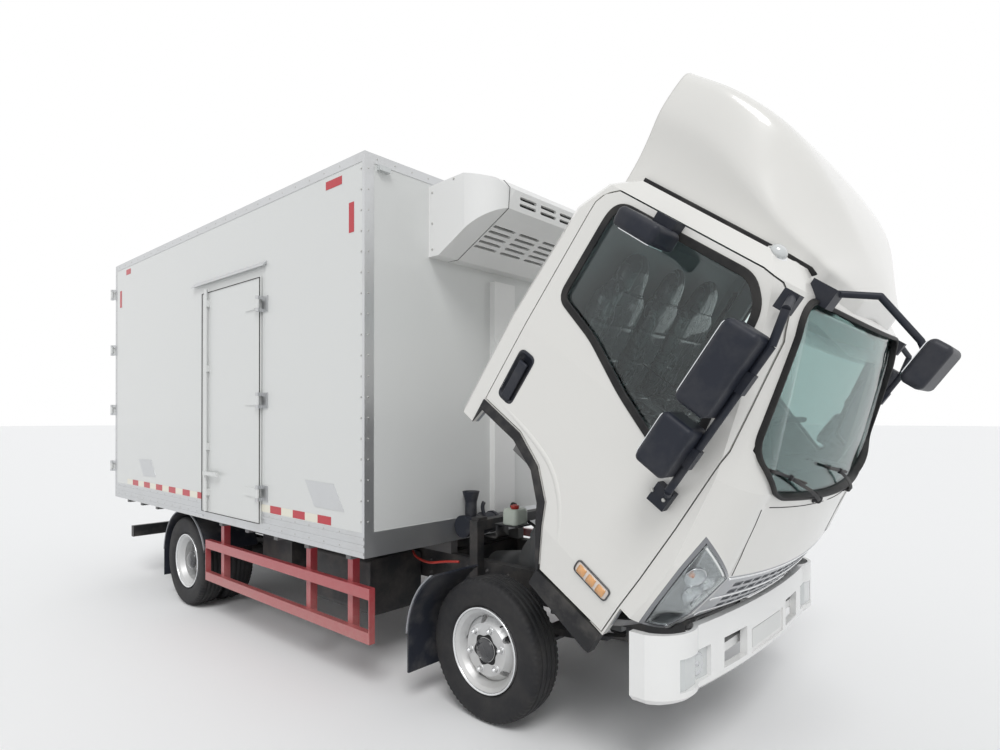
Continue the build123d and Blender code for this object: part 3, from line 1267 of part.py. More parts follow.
# Arch trims and sills in dark moulding
sill_outline = [(2252, CAB_SILL + 12), (2252, 546), (2262, 548), (2663, 577), (2663, CAB_SILL)]
arch_band = [(1536, 873), (1556, 961), (1807, 964), (1973, 915), (2088, 816), (2249, 547)]
arch_outer = [(2262, 552), (2120, 846), (1990, 954), (1815, 1012), (1536, 1010)]
with BuildPart() as arch_trims:
    add(common(cab_block(-6) - cab_block(CAB_WALL), prism_y(sill_outline, -1100, 1100)))
    add(common(cab_block(-8) - cab_block(-1), prism_y(arch_band + [(2254, 547)] + arch_outer, -1100, 1100)))
keep(arch_trims, "arch_trims", on_cab=True)

# Cab floor: wheelhouse shelf, toe board and foot well, with the engine tunnel and hinge arms
FLOOR_WALL = 34
FLOOR_HALF = 912
FLOOR_FULL = 960
floor_under = [(REAR_SPLIT, 1010), (1820, 1010), (1990, 950), (2110, 846), (2262, 590), (2640, 590), (2800, 770)]
floor_shift = [(6, 34), (-10, 34), (20, 34), (32, 18), (26, 26), (10, 34), (0, 34)]
floor_over = [(x + dx, z + dz) for (x, z), (dx, dz) in zip(floor_under[::-1], floor_shift)]
# The tunnel spans the frame rails and everything between them
FRAME_CLEARANCE = 11
TUNNEL_HALF = RAIL_OUT_Y + FRAME_CLEARANCE + FLOOR_WALL
TUNNEL_TOP = 1110
TUNNEL_FRONT_X = 2600
BRIDGE_UNDER = RAIL_TOP + 12
BRIDGE_OVER = BRIDGE_UNDER + FLOOR_WALL


def hinge_arm(y_low, y_high):
    """Arm from the toe board down to the tilt bar, bored to turn on it."""
    with BuildPart() as arm:
        add(
            prism_y(
                [(2600, 628), (2760, 628), (2836, 640), (2836, 700), (2775, 790), (2700, 720), (2600, 660)],
                y_low,
                y_high,
            )
        )
        add(
            rod(
                (TILT_PIVOT_X, y_low - 5, TILT_PIVOT_Z),
                (TILT_PIVOT_X, y_high + 5, TILT_PIVOT_Z),
                PIVOT_BAR_RADIUS + RUNNING_CLEARANCE,
            ),
            mode=Mode.SUBTRACT,
        )
    return arm.part


wide_floor = prism_y(floor_under + floor_over, -FLOOR_FULL, FLOOR_FULL)
tunnel_in = TUNNEL_HALF - FLOOR_WALL
with BuildPart() as cab_floor:
    add(prism_y(floor_under + floor_over, -FLOOR_HALF, FLOOR_HALF))
    add(common(wide_floor, block((REAR_SPLIT, 1530), (-FLOOR_FULL, FLOOR_FULL), (900, 1100))))
    add(common(wide_floor, block((FRONT_SPLIT_X, 2900), (-FLOOR_FULL, FLOOR_FULL), (500, 900))))
    add(cab_inner, mode=Mode.INTERSECT)
    add(block((REAR_SPLIT, TUNNEL_FRONT_X), (-TUNNEL_HALF, TUNNEL_HALF), (600, TUNNEL_TOP)))
    add(prism_y([(2566, 590), (2640, 590), (2779, BRIDGE_OVER), (2566, BRIDGE_OVER)], -TUNNEL_HALF, TUNNEL_HALF))
    tunnel_end = TUNNEL_FRONT_X - FLOOR_WALL
    add(block((1400, tunnel_end), (-tunnel_in, tunnel_in), (500, TUNNEL_TOP - FLOOR_WALL)), mode=Mode.SUBTRACT)
    add(block((tunnel_end - 1, 2830), (-tunnel_in, tunnel_in), (500, BRIDGE_UNDER)), mode=Mode.SUBTRACT)
    for side in (-1, 1):
        y_pair = sorted((side * 440, side * 480))
        add(hinge_arm(*y_pair))
keep(cab_floor, "cab_floor", on_cab=True)

# Wind deflector on the roof: a hollow fairing, open at the back
# Sections: X, base half width, crease half width, crease Z, shoulder half width, shoulder Z, crown Z
DEFLECTOR_SECTIONS = (
    (1520, 802, 822, 2480, 780, 2686, 2697),
    (1790, 802, 820, 2470, 775, 2684, 2695),
    (2050, 796, 808, 2400, 700, 2630, 2644),
    (2250, 768, 770, 2325, 530, 2522, 2540),
    (2400, 690, 680, 2280, 330, 2400, 2418),
    (2490, 570, 552, 2250, 210, 2314, 2330),
    (2535, 360, 340, 2226, 130, 2262, 2272),
)
DEFLECTOR_WALL = 14
DEFLECTOR_FOOT = 2130


def deflector_block(inset):
    """The fairing's volume, through its sections, moved inwards by inset and open behind if it is."""
    with BuildPart() as shape:
        sections = []
        last = len(DEFLECTOR_SECTIONS) - 1
        for row, (x, base, crease, crease_z, shoulder, shoulder_z, crown_z) in enumerate(DEFLECTOR_SECTIONS):
            if inset and row == 0:
                x -= 20
            if row == last:
                x -= inset
            foot = DEFLECTOR_FOOT - (20 if inset else 0)
            base -= inset
            crease -= inset
            shoulder -= inset * 0.6
            shoulder_z -= inset
            crown_z -= inset
            with BuildSketch(across(x)) as section:
                with BuildLine():
                    Polyline((shoulder, shoulder_z), (crease, crease_z), (base, foot))
                    Polyline((base, foot), (-base, foot), (-crease, crease_z), (-shoulder, shoulder_z))
                    ThreePointArc((-shoulder, shoulder_z), (0, crown_z), (shoulder, shoulder_z))
                make_face()
            sections.append(section.sketch)
        loft(sections=sections, ruled=True)
    return shape.part


with BuildPart() as wind_deflector:
    add(deflector_block(0))
    add(deflector_block(DEFLECTOR_WALL), mode=Mode.SUBTRACT)
    add(cab_outer, mode=Mode.SUBTRACT)
keep(wind_deflector, "wind_deflector", on_cab=True)

# Cab doors: panel, window glass, mirror arm with its mirrors
MIRROR_ROUND = 24


def mirror_case(x, y, z):
    """Soft-edged case of a mirror."""
    with BuildPart() as case:
        add(block(x, y, z))
        fillet(case.edges(), MIRROR_ROUND)
    return case.part


with BuildPart() as door_gap_region:
    for y_low, y_high in ((-1100, -700), (700, 1100)):
        with BuildSketch(upright_plane(y_high)):
            with BuildLine():
                Polyline(*DOOR_LINE, close=True)
            make_face()
            offset(amount=-SHUT_GAP, kind=Kind.INTERSECTION)
        extrude(amount=y_high - y_low)


def handle_pocket(side):
    """Rounded recess behind a door's handle, from outside the skin to its depth."""
    floor_y = side * (HANDLE_SKIN - HANDLE_DEPTH)
    with BuildPart() as pocket:
        with BuildSketch(upright_plane(max(floor_y, floor_y + side * 60))):
            with Locations((HANDLE_X, HANDLE_Z)):
                RectangleRounded(*HANDLE_SIZE, 30)
        extrude(amount=60)
    return pocket.part


def handle_grip(side):
    """Paddle of a door handle, standing on the lower edge of its recess."""
    foot_z = HANDLE_Z - HANDLE_SIZE[1] / 2 - 10
    with BuildPart() as grip:
        y_pair = sorted((side * (HANDLE_SKIN - 10), side * (HANDLE_SKIN + 1)))
        add(block((HANDLE_X - 24, HANDLE_X + 24), y_pair, (foot_z, HANDLE_Z + 80)))
        fillet(grip.edges().filter_by(Axis.Y), 14)
    return grip.part


for name, side in SIDES.items():
    half_space = block((1300, 3100), sorted((side * 600, side * 1200)), (300, 2400))
    with BuildPart() as cab_door:
        add(shell)
        add(door_gap_region.part, mode=Mode.INTERSECT)
        add(half_space, mode=Mode.INTERSECT)
        add(prism_y(WINDOW_LINE, -1200, 1200), mode=Mode.SUBTRACT)
        add(handle_pocket(side), mode=Mode.SUBTRACT)
        add(handle_grip(side))
    keep(cab_door, f"cab_door_{name}", on_cab=True)
    with BuildPart() as door_glass:
        add(glass_shell)
        add(prism_y(WINDOW_LINE, -1200, 1200), mode=Mode.INTERSECT)
        add(half_space, mode=Mode.INTERSECT)
    keep(door_glass, f"door_glass_{name}", on_cab=True)
    with BuildPart() as door_mirrors:
        arm_y = side * 1110
        add(rod((2500, side * 955, 2120), (2560, arm_y, 2080), 15))
        add(rod((2560, arm_y, 2080), (2592, arm_y, 1960), 15))
        add(rod((2592, arm_y, 1960), (2592, arm_y, 1330), 15))
        add(rod((2592, arm_y, 1330), (2560, side * 990, 1262), 15))
        add(block((2470, 2530), sorted((side * 940, side * 985)), (2060, 2135)))
        add(block((2510, 2590), sorted((side * 986, side * 1030)), (1215, 1300)))
        for z_range in ((1644, 1978), (1377, 1595)):
            y_pair = sorted((side * 1075, side * 1215))
            add(mirror_case((2440, 2580), y_pair, z_range))
            z_mid = (z_range[0] + z_range[1]) / 2
            add(block((2570, 2610), sorted((side * 1090, side * 1130)), (z_mid - 40, z_mid + 40)))
        add(mirror_case((1800, 2010), sorted((side * 960, side * 1150)), (2032, 2112)))
        add(block((1880, 1980), sorted((side * 930, side * 1010)), (2090, 2150)))
        add(cab_outer, mode=Mode.SUBTRACT)
    keep(door_mirrors, f"door_mirrors_{name}", on_cab=True)

# Interior: dashboard, steering wheel and seats
WHEEL_CENTRE = (2300, 430, 1420)
WHEEL_RAKE = 40
WHEEL_RING = 205
COLUMN_RADIUS = 26
COLUMN_LENGTH = 330
rake = radians(WHEEL_RAKE)
COLUMN_TOP = WHEEL_CENTRE
COLUMN_FOOT = (
    WHEEL_CENTRE[0] + COLUMN_LENGTH * sin(rake),
    WHEEL_CENTRE[1],
    WHEEL_CENTRE[2] - COLUMN_LENGTH * cos(rake),
)
with BuildPart() as dashboard:
    add(
        prism_y(
            [(2420, 1050), (2480, 960), (2640, 940), (2790, 1000), (2790, 1380), (2700, 1400), (2480, 1300)],
            -880,
            880,
        )
    )
    add(cab_inner, mode=Mode.INTERSECT)
    add(prism_y(floor_under + floor_over, -FLOOR_HALF, FLOOR_HALF), mode=Mode.SUBTRACT)
    add(block((1458, 2601), (-TUNNEL_HALF, TUNNEL_HALF), (600, TUNNEL_TOP)), mode=Mode.SUBTRACT)
    add(rod(COLUMN_TOP, COLUMN_FOOT, COLUMN_RADIUS + RUNNING_CLEARANCE), mode=Mode.SUBTRACT)
keep(dashboard, "dashboard", on_cab=True)

with BuildPart() as steering_wheel:
    with BuildSketch(Plane(origin=WHEEL_CENTRE, x_dir=(0, 1, 0), z_dir=(cos(rake), 0, sin(rake)))):
        with Locations((WHEEL_RING, 0)):
            RegularPolygon(15, 8)
    revolve(axis=Axis(WHEEL_CENTRE, (-sin(rake), 0, cos(rake))), revolution_arc=360)
    with BuildSketch(Plane(origin=WHEEL_CENTRE, x_dir=(0, 1, 0), z_dir=(sin(rake), 0, -cos(rake)))):
        Rectangle(2 * WHEEL_RING, 34)
        Circle(56)
    extrude(amount=18)
    add(rod(COLUMN_TOP, COLUMN_FOOT, COLUMN_RADIUS))
keep(steering_wheel, "steering_wheel", on_cab=True)

SEAT_TABLE = ((430, 500), (-430, 500), (0, 330))
SEAT_BASE = 1044.3
SEAT_ROUND = 24


def seat_solid(y, width):
    """Cushion and back of one seat, as one soft closed form."""
    half = width / 2 - 6
    with BuildPart() as seat:
        add(prism_y([(1640, SEAT_BASE), (2120, SEAT_BASE), (2130, 1240), (1640, 1220)], y - half, y + half))
        add(prism_y([(1560, SEAT_BASE), (1700, SEAT_BASE), (1620, 1950), (1500, 1950)], y - half, y + half))
        fillet(seat.edges().filter_by(Axis.Y), SEAT_ROUND)
        add(block((1400, 2700), (-TUNNEL_HALF - 0.3, TUNNEL_HALF + 0.3), (600, TUNNEL_TOP + 0.3)), mode=Mode.SUBTRACT)
    return seat.part


with BuildPart() as seats:
    for y, width in SEAT_TABLE:
        add(seat_solid(y, width))
keep(seats, "seats", on_cab=True)

# Mirror on its arm above the windshield's right-hand corner
FRONT_MIRROR_ARM = ((2530, -690, 2190), (2653, -630, 2256), (2848, -600, 2189), (2905, -600, 2150))
with BuildPart() as front_mirror:
    add(block((2450, 2550), (-738, -648), (2130, 2206)))
    for start, end in zip(FRONT_MIRROR_ARM, FRONT_MIRROR_ARM[1:]):
        add(rod(start, end, 13))
        with Locations(end):
            Sphere(13)
    add(mirror_case((2884, 2968), (-726, -474), (2046, 2220)))
    add(cab_outer, mode=Mode.SUBTRACT)
keep(front_mirror, "front_mirror", on_cab=True)
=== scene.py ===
"""Looks of a refrigerated truck with its cab tilted forward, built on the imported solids."""

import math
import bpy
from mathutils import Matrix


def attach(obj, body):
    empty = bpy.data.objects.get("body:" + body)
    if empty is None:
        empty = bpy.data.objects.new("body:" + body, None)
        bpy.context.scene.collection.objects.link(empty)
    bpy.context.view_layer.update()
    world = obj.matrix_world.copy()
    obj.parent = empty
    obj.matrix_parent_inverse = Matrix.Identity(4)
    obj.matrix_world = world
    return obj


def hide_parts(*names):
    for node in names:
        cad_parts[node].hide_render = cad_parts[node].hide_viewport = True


bl_info = {
    "name": "Refrigerated Truck",
    "version": (1, 0, 0),
    "blender": (4, 5, 0),
    "location": "View3D > Sidebar > Truck",
    "description": "Dresses the packed truck: paint, rubber, lamps, seals, tapes and seats",
    "category": "Object",
}

import bmesh
import bpy
import numpy as np

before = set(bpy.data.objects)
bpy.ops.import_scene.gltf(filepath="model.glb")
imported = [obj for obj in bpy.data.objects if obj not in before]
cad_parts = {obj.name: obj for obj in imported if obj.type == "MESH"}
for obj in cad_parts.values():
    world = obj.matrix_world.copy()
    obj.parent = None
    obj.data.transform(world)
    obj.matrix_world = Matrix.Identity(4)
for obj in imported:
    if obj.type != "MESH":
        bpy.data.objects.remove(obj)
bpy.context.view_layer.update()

# Datum of the solids, in millimetres
ORIGIN_X = 393.0
PIVOT = (2810.0, 670.0)
CAB_TILT = math.radians(36)
FRONT_AXLE = (1835.0, 376.0)
REAR_AXLE = (-1465.0, 376.0)
FRONT_TRACK = 765.0
REAR_TRACKS = (952.0, 720.0)
BOX_SIDE = 1124.0
DOOR_FACE = 988.0


# Places

def fixed(points):
    """Millimetres on the chassis to metres in the frame: x less the origin, all over 1000."""
    p = np.asarray(points, float)
    return (p - (ORIGIN_X, 0, 0)) / 1000


def tilted(points):
    """Millimetres on the lowered cab to metres in the frame: turned about the tilt bar, then as fixed."""
    p = np.asarray(points, float)
    dx = p[..., 0] - PIVOT[0]
    dz = p[..., 2] - PIVOT[1]
    c, s = math.cos(CAB_TILT), math.sin(CAB_TILT)
    turned = np.stack([PIVOT[0] + dx * c + dz * s, p[..., 1], PIVOT[1] - dx * s + dz * c], -1)
    return fixed(turned)


# Meshes from arrays

def skin_mesh(name, grids, place=fixed, smooth=True, weld=1e-5):
    """One mesh from several point grids (rows, columns, 3) in millimetres; a quad joins each four neighbours."""
    verts, faces, start = [], [], 0
    for grid in grids:
        grid = np.asarray(grid, float)
        rows, cols = grid.shape[:2]
        index = start + np.arange(rows * cols).reshape(rows, cols)
        quads = np.stack([index[:-1, :-1], index[1:, :-1], index[1:, 1:], index[:-1, 1:]], -1)
        verts.append(place(grid.reshape(-1, 3)))
        faces.append(quads.reshape(-1, 4))
        start += rows * cols
    mesh = bpy.data.meshes.new(name)
    mesh.from_pydata(np.concatenate(verts).tolist(), [], np.concatenate(faces).tolist())
    mesh.validate()
    obj = bpy.data.objects.new(name, mesh)
    bpy.context.scene.collection.objects.link(obj)
    weld_and_face_out(obj, weld)
    mesh = obj.data
    mesh.polygons.foreach_set("use_smooth", np.full(len(mesh.polygons), smooth))
    return obj


def weld_and_face_out(obj, weld):
    """Doubles merged, then normals turned outwards."""
    bm = bmesh.new()
    bm.from_mesh(obj.data)
    bmesh.ops.remove_doubles(bm, verts=bm.verts, dist=weld)
    bmesh.ops.recalc_face_normals(bm, faces=bm.faces)
    bm.to_mesh(obj.data)
    bm.free()


def closed_loop(grid):
    """Grid with its first column repeated at the end, so that the last quads close the ring."""
    return np.concatenate([grid, grid[:, :1]], 1)


def capped(grid):
    """Tube grid (stations, ring, 3) with a point at the middle of each end ring, so that its ends close."""
    first = np.repeat(grid[:1].mean(1, keepdims=True), grid.shape[1], 1)
    last = np.repeat(grid[-1:].mean(1, keepdims=True), grid.shape[1], 1)
    return np.concatenate([first, grid, last], 0)


def frames_along(path, up=(0, 0, 1)):
    """Tangent, side and up arrays along a path; side = tangent x up, and the last vector is side x tangent."""
    path = np.asarray(path, float)
    tangent = np.gradient(path, axis=0)
    tangent /= np.linalg.norm(tangent, axis=1, keepdims=True)
    guide = np.broadcast_to(np.asarray(up, float), tangent.shape)
    side = np.cross(tangent, guide)
    length = np.linalg.norm(side, axis=1, keepdims=True)
    side = np.where(length > 1e-6, side / np.maximum(length, 1e-6), (1.0, 0, 0))
    return tangent, side, np.cross(side, tangent)


def swept(profile, path, up=(0, 0, 1), closed=False):
    """Closed profile of (side, up) offsets carried along a path: point = path + side * a + up * b."""
    path = np.asarray(path, float)
    if closed:
        path = np.concatenate([path[-1:], path, path[:1]])
    _, side, rise = frames_along(path, up)
    if closed:
        path, side, rise = path[1:-1], side[1:-1], rise[1:-1]
    prof = np.asarray(profile, float)
    grid = path[:, None] + side[:, None] * prof[None, :, :1] + rise[:, None] * prof[None, :, 1:]
    grid = closed_loop(grid)
    if closed:
        return np.concatenate([grid, grid[:1]], 0)
    return capped(grid)


def ring(radius, count=16, squash=1.0):
    """Round profile: (r cos t, r squash sin t)."""
    t = np.linspace(0, 2 * np.pi, count, endpoint=False)
    return np.stack([radius * np.cos(t), radius * squash * np.sin(t)], -1)


def rounded_bar(width, height, radius, steps=4):
    """Rectangle profile with quarter-circle corners."""
    a, b = width / 2 - radius, height / 2 - radius
    t = np.linspace(0, np.pi / 2, steps)
    quarter = np.stack([radius * np.cos(t), radius * np.sin(t)], -1)
    turns = [quarter + (a, b)]
    turns.append(np.stack([-quarter[::-1, 0], quarter[::-1, 1]], -1) + (-a, b))
    turns.append(-quarter + (-a, -b))
    turns.append(np.stack([quarter[::-1, 0], -quarter[::-1, 1]], -1) + (a, -b))
    return np.concatenate(turns)


def resampled(points, step, closed=False):
    """Points at even distances along a line of straight runs, with its corners kept."""
    pts = np.asarray(points, float)
    if closed:
        pts = np.concatenate([pts, pts[:1]])
    runs = []
    for a, b in zip(pts[:-1], pts[1:]):
        count = max(1, int(round(np.linalg.norm(b - a) / step)))
        runs.append(a + (b - a) * np.linspace(0, 1, count, endpoint=False)[:, None])
    if not closed:
        runs.append(pts[-1:])
    return np.concatenate(runs)


def softened(points, radius, steps=6, closed=True):
    """Polygon with each corner replaced by a quadratic arc: P = (1-t)^2 A + 2t(1-t) B + t^2 C."""
    pts = np.asarray(points, float)
    count = len(pts)
    out = []
    t = np.linspace(0, 1, steps)[:, None]
    for i in range(count):
        b = pts[i]
        if not closed and i in (0, count - 1):
            out.append(b[None])
            continue
        a, c = pts[i - 1], pts[(i + 1) % count]
        ra = min(radius, 0.45 * np.linalg.norm(a - b))
        rc = min(radius, 0.45 * np.linalg.norm(c - b))
        start = b + (a - b) / np.linalg.norm(a - b) * ra
        end = b + (c - b) / np.linalg.norm(c - b) * rc
        out.append((1 - t) ** 2 * start + 2 * t * (1 - t) * b + t ** 2 * end)
    return np.concatenate(out)


def routed(points, bend, step, steps=8):
    """Open line with softened corners and points at even distances."""
    return resampled(softened(points, bend, steps, False), step)


def rectangle(low, high):
    """Corners of a rectangle in turn, from two opposite ones."""
    (left, bottom), (right, top) = low, high
    return [(left, bottom), (right, bottom), (right, top), (left, top)]


def spun(profile, centre, axle_out, turns=96):
    """Profile of (outward, radius) turned about an axle along Y: (x, z) = centre + r (cos a, sin a)."""
    prof = np.asarray(profile, float)
    a = np.linspace(0, 2 * np.pi, turns, endpoint=False)
    out, r = prof[:, 0][:, None], prof[:, 1][:, None]
    x = centre[0] + r * np.cos(a)
    z = centre[2] + r * np.sin(a)
    y = np.broadcast_to(centre[1] + axle_out * out, x.shape)
    return closed_loop(np.stack([x, y, z], -1))


def plate(outline, depth, normal):
    """Flat piece: an outline, its copy moved by depth along the normal, and a fan to the middle of each."""
    line = np.asarray(outline, float)
    shift = np.asarray(normal, float) * depth
    middle = np.repeat(line.mean(0, keepdims=True), len(line), 0)
    return closed_loop(np.stack([middle, line, line + shift, middle + shift]))


def flat(outline, axis, level):
    """Outline of two coordinates set at one level of the third axis: 0 is X, 1 is Y, 2 is Z."""
    return np.insert(np.asarray(outline, float), axis, level, axis=1)


def studs(places, normals, profile, turns=16):
    """Small turned pieces: point = place + n out + (u cos a + v sin a) r, u and v square to the normal n."""
    c = np.atleast_2d(np.asarray(places, float))
    n = np.broadcast_to(np.asarray(normals, float), c.shape)
    n = n / np.linalg.norm(n, axis=1, keepdims=True)
    guide = np.where(np.abs(n[:, 2:]) > 0.9, (1.0, 0, 0), (0, 0, 1.0))
    u = np.cross(guide, n)
    u /= np.linalg.norm(u, axis=1, keepdims=True)
    v = np.cross(n, u)
    a = np.linspace(0, 2 * np.pi, turns, endpoint=False)
    prof = np.asarray(profile, float)
    r = np.broadcast_to(prof[:, 1][:, None], (len(prof), turns))
    grid = (
        c[:, None, None]
        + n[:, None, None] * prof[None, :, 0, None, None]
        + u[:, None, None] * (r * np.cos(a))[None, ..., None]
        + v[:, None, None] * (r * np.sin(a))[None, ..., None]
    )
    return [closed_loop(one) for one in grid]


def shell_of(outer, inner):
    """Closed skin: an outer grid, an inner grid of the same size, and strips that join their four borders."""
    edges = [np.stack([outer[0], inner[0]]), np.stack([outer[-1], inner[-1]])]
    edges += [np.stack([outer[:, 0], inner[:, 0]]), np.stack([outer[:, -1], inner[:, -1]])]
    return [outer, inner, *edges]


def slab(x, y, z, radius=4.0):
    """Bar with rounded long edges along X, filling the three ranges."""
    path = [(x[0], sum(y) / 2, sum(z) / 2), (sum(x) / 2, sum(y) / 2, sum(z) / 2), (x[1], sum(y) / 2, sum(z) / 2)]
    return swept(rounded_bar(y[1] - y[0], z[1] - z[0], radius), path)


# Cab skin, lowered cab: height, rear, half width, side end, knee x, knee y, nose
CAB_SECTIONS = np.array(
    [
        (445, 1414, 952, 2640, 2790, 760, 2840),
        (745, 1414, 990, 2725, 2835, 715, 2868),
        (860, 1414, 990, 2735, 2866, 705, 2915),
        (1060, 1414, 990, 2735, 2868, 700, 2925),
        (1440, 1414, 985, 2668, 2792, 670, 2850),
        (2003, 1440, 952, 2470, 2566, 740, 2640),
        (2150, 1525, 936, 2395, 2495, 740, 2566),
        (2222, 1610, 868, 2300, 2395, 660, 2450),
    ],
    float,
)


def arc_points(a, b, c, t):
    """Points at shares t of the circular arc from a through b to c."""
    ax, ay = a
    bx, by = b
    cx, cy = c
    d = 2 * (ax * (by - cy) + bx * (cy - ay) + cx * (ay - by))
    ux = ((ax ** 2 + ay ** 2) * (by - cy) + (bx ** 2 + by ** 2) * (cy - ay) + (cx ** 2 + cy ** 2) * (ay - by)) / d
    uy = ((ax ** 2 + ay ** 2) * (cx - bx) + (bx ** 2 + by ** 2) * (ax - cx) + (cx ** 2 + cy ** 2) * (bx - ax)) / d
    r = math.hypot(ax - ux, ay - uy)
    angle = [math.atan2(y - uy, x - ux) for x, y in (a, b, c)]
    turn = (angle[2] - angle[0]) % (2 * math.pi)
    if (angle[1] - angle[0]) % (2 * math.pi) > turn:
        turn -= 2 * math.pi
    theta = angle[0] + turn * t
    return np.stack([ux + r * np.cos(theta), uy + r * np.sin(theta)], -1)


def section_line(row, inset):
    """Half outline of one cab section, from the rear corner forward to the nose, with the same count in each."""
    _, rear, half, side_end, knee_x, knee_y, nose = row
    half, rear = half - inset, rear + inset
    knee_x, knee_y, nose = knee_x - 0.9 * inset, knee_y - 0.5 * inset, nose - inset
    bulge = (side_end + (knee_x - side_end) * 0.62, half - (half - knee_y) * 0.30)
    side = np.stack([np.linspace(rear + 40, side_end, 12, endpoint=False), np.full(12, half)], -1)
    corner = arc_points((side_end, half), bulge, (knee_x, knee_y), np.linspace(0, 1, 24, endpoint=False))
    front = arc_points((knee_x, knee_y), (nose, 0), (knee_x, -knee_y), np.linspace(0, 0.5, 24))
    return np.concatenate([side, corner, front])


def skin_lines(z, inset=0.0):
    """Half outlines of the cab's skin at heights z: the two nearest sections, mixed by height."""
    lines = np.array([section_line(row, inset) for row in CAB_SECTIONS])
    levels = CAB_SECTIONS[:, 0]
    z = np.clip(np.asarray(z, float), levels[0], levels[-1])
    low = np.clip(np.searchsorted(levels, z, side="right") - 1, 0, len(levels) - 2)
    share = ((z - levels[low]) / (levels[low + 1] - levels[low]))[:, None, None]
    return lines[low] * (1 - share) + lines[low + 1] * share


def read_off(given, wanted, value):
    """For each row, wanted where given passes value, by straight lines between neighbours."""
    above = given >= value[:, None] if given[0, 0] < given[0, -1] else given <= value[:, None]
    index = np.clip(above.argmax(1), 1, given.shape[1] - 1)
    row = np.arange(len(value))
    g0, g1 = given[row, index - 1], given[row, index]
    w0, w1 = wanted[row, index - 1], wanted[row, index]
    share = np.clip((value - g0) / np.where(np.abs(g1 - g0) < 1e-9, 1, g1 - g0), 0, 1)
    return w0 + (w1 - w0) * share


def on_front(yz, proud=0.0):
    """Points of the cab's front skin at given (y, z), moved out by proud."""
    yz = np.asarray(yz, float)
    lines = skin_lines(yz[:, 1], -proud)
    x = read_off(lines[..., 1], lines[..., 0], np.abs(yz[:, 0]))
    return np.stack([x, yz[:, 0], yz[:, 1]], -1)


def on_side(xz, side, proud=0.0):
    """Points of the cab's side skin at given (x, z), on the left (1) or right (-1), moved out by proud."""
    xz = np.asarray(xz, float)
    lines = skin_lines(xz[:, 1], -proud)
    y = read_off(lines[..., 0], lines[..., 1], xz[:, 0])
    return np.stack([xz[:, 0], side * y, xz[:, 1]], -1)


def skin_normals(points_of, at):
    """Outward normals of a skin function: cross product of its steps of 4 mm in both parameters."""
    at = np.asarray(at, float)
    du = points_of(at + (4, 0)) - points_of(at - (4, 0))
    dv = points_of(at + (0, 4)) - points_of(at - (0, 4))
    n = np.cross(du, dv)
    n /= np.linalg.norm(n, axis=1, keepdims=True)
    return np.where(n[:, :1] < -0.01, -n, n)


def front_studs(places, side, depth, profile, turns):
    """Turned pieces on the front skin at (half width, height) places, at a depth along the skin's normal."""
    at = np.array(places, float) * (side, 1)
    return studs(on_front(at, depth), skin_normals(on_front, at), profile, turns)


def front_strip(z, low_y, high_y, proud, columns=24):
    """Grid on the front skin: rows at heights z, columns evenly between two half widths."""
    z = np.asarray(z, float)
    share = np.linspace(0, 1, columns)
    y = np.asarray(low_y, float)[..., None] * (1 - share) + np.asarray(high_y, float)[..., None] * share
    y = np.broadcast_to(y, (len(z), columns))
    yz = np.stack([y, np.broadcast_to(z[:, None], y.shape)], -1).reshape(-1, 2)
    return on_front(yz, proud).reshape(len(z), columns, 3)


def corner_strip(z, rear_x, inner_y, side, inset, columns=30):
    """Grid on the cab's corner: each row follows the skin from rear_x round to the half width inner_y."""
    lines = skin_lines(z, inset)
    rows = []
    for line, y_in in zip(lines, np.asarray(inner_y, float)):
        count = np.arange(len(line))
        start = np.interp(rear_x, line[:, 0], count)
        end = np.interp(-y_in, -line[:, 1], count)
        at = np.linspace(start, max(end, start), columns)
        rows.append(np.stack([np.interp(at, count, line[:, 0]), side * np.interp(at, count, line[:, 1])], -1))
    grid = np.array(rows)
    return np.concatenate([grid, np.broadcast_to(np.asarray(z, float)[:, None, None], grid.shape[:2] + (1,))], -1)


# Shader maths

class Field:
    """A socket that can be written in Python expressions; each operator adds one Math node."""

    def __init__(self, owner, socket):
        self.owner = owner
        self.socket = socket

    def _math(self, operation, *values):
        return self.owner.node("ShaderNodeMath", {"operation": operation}, dict(enumerate(values)))

    def __add__(self, other):
        return self._math("ADD", self, other)

    def __radd__(self, other):
        return self._math("ADD", other, self)

    def __sub__(self, other):
        return self._math("SUBTRACT", self, other)

    def __rsub__(self, other):
        return self._math("SUBTRACT", other, self)

    def __mul__(self, other):
        return self._math("MULTIPLY", self, other)

    def __rmul__(self, other):
        return self._math("MULTIPLY", other, self)

    def __truediv__(self, other):
        return self._math("DIVIDE", self, other)

    def __pow__(self, other):
        return self._math("POWER", self, other)

    def over(self, limit):
        return self._math("GREATER_THAN", self, limit)

    def size(self):
        return self._math("ABSOLUTE", self)

    def sine(self):
        return self._math("SINE", self)

    def least(self, other):
        return self._math("MINIMUM", self, other)

    def most(self, other):
        return self._math("MAXIMUM", self, other)

    def ramp(self, low, high):
        """0 below low, 1 above high, straight between."""
        return self.owner.node(
            "ShaderNodeMapRange", {"clamp": True}, {0: self, 1: low, 2: high, 3: 0.0, 4: 1.0}
        )


class NodeTree:
    """A node tree being built: every node comes from one method, and sockets from names or numbers."""

    def __init__(self, tree):
        self.tree = tree
        tree.nodes.clear()

    def node(self, kind, settings=None, values=None, output=0):
        """Adds a node, applies its settings, then sets or links its sockets, and returns one output."""
        made = self.tree.nodes.new(kind)
        for key, value in (settings or {}).items():
            setattr(made, key, value)
        for key, value in (values or {}).items():
            self.put(made.inputs[key], value)
        return Field(self, made.outputs[output]) if made.outputs else made

    def put(self, socket, value):
        """Links a field to a socket, or sets the socket's own value."""
        if isinstance(value, Field):
            self.tree.links.new(value.socket, socket)
        elif socket.type == "RGBA" and len(value) == 3:
            socket.default_value = (*value, 1)
        else:
            socket.default_value = value


FINISHES = {}


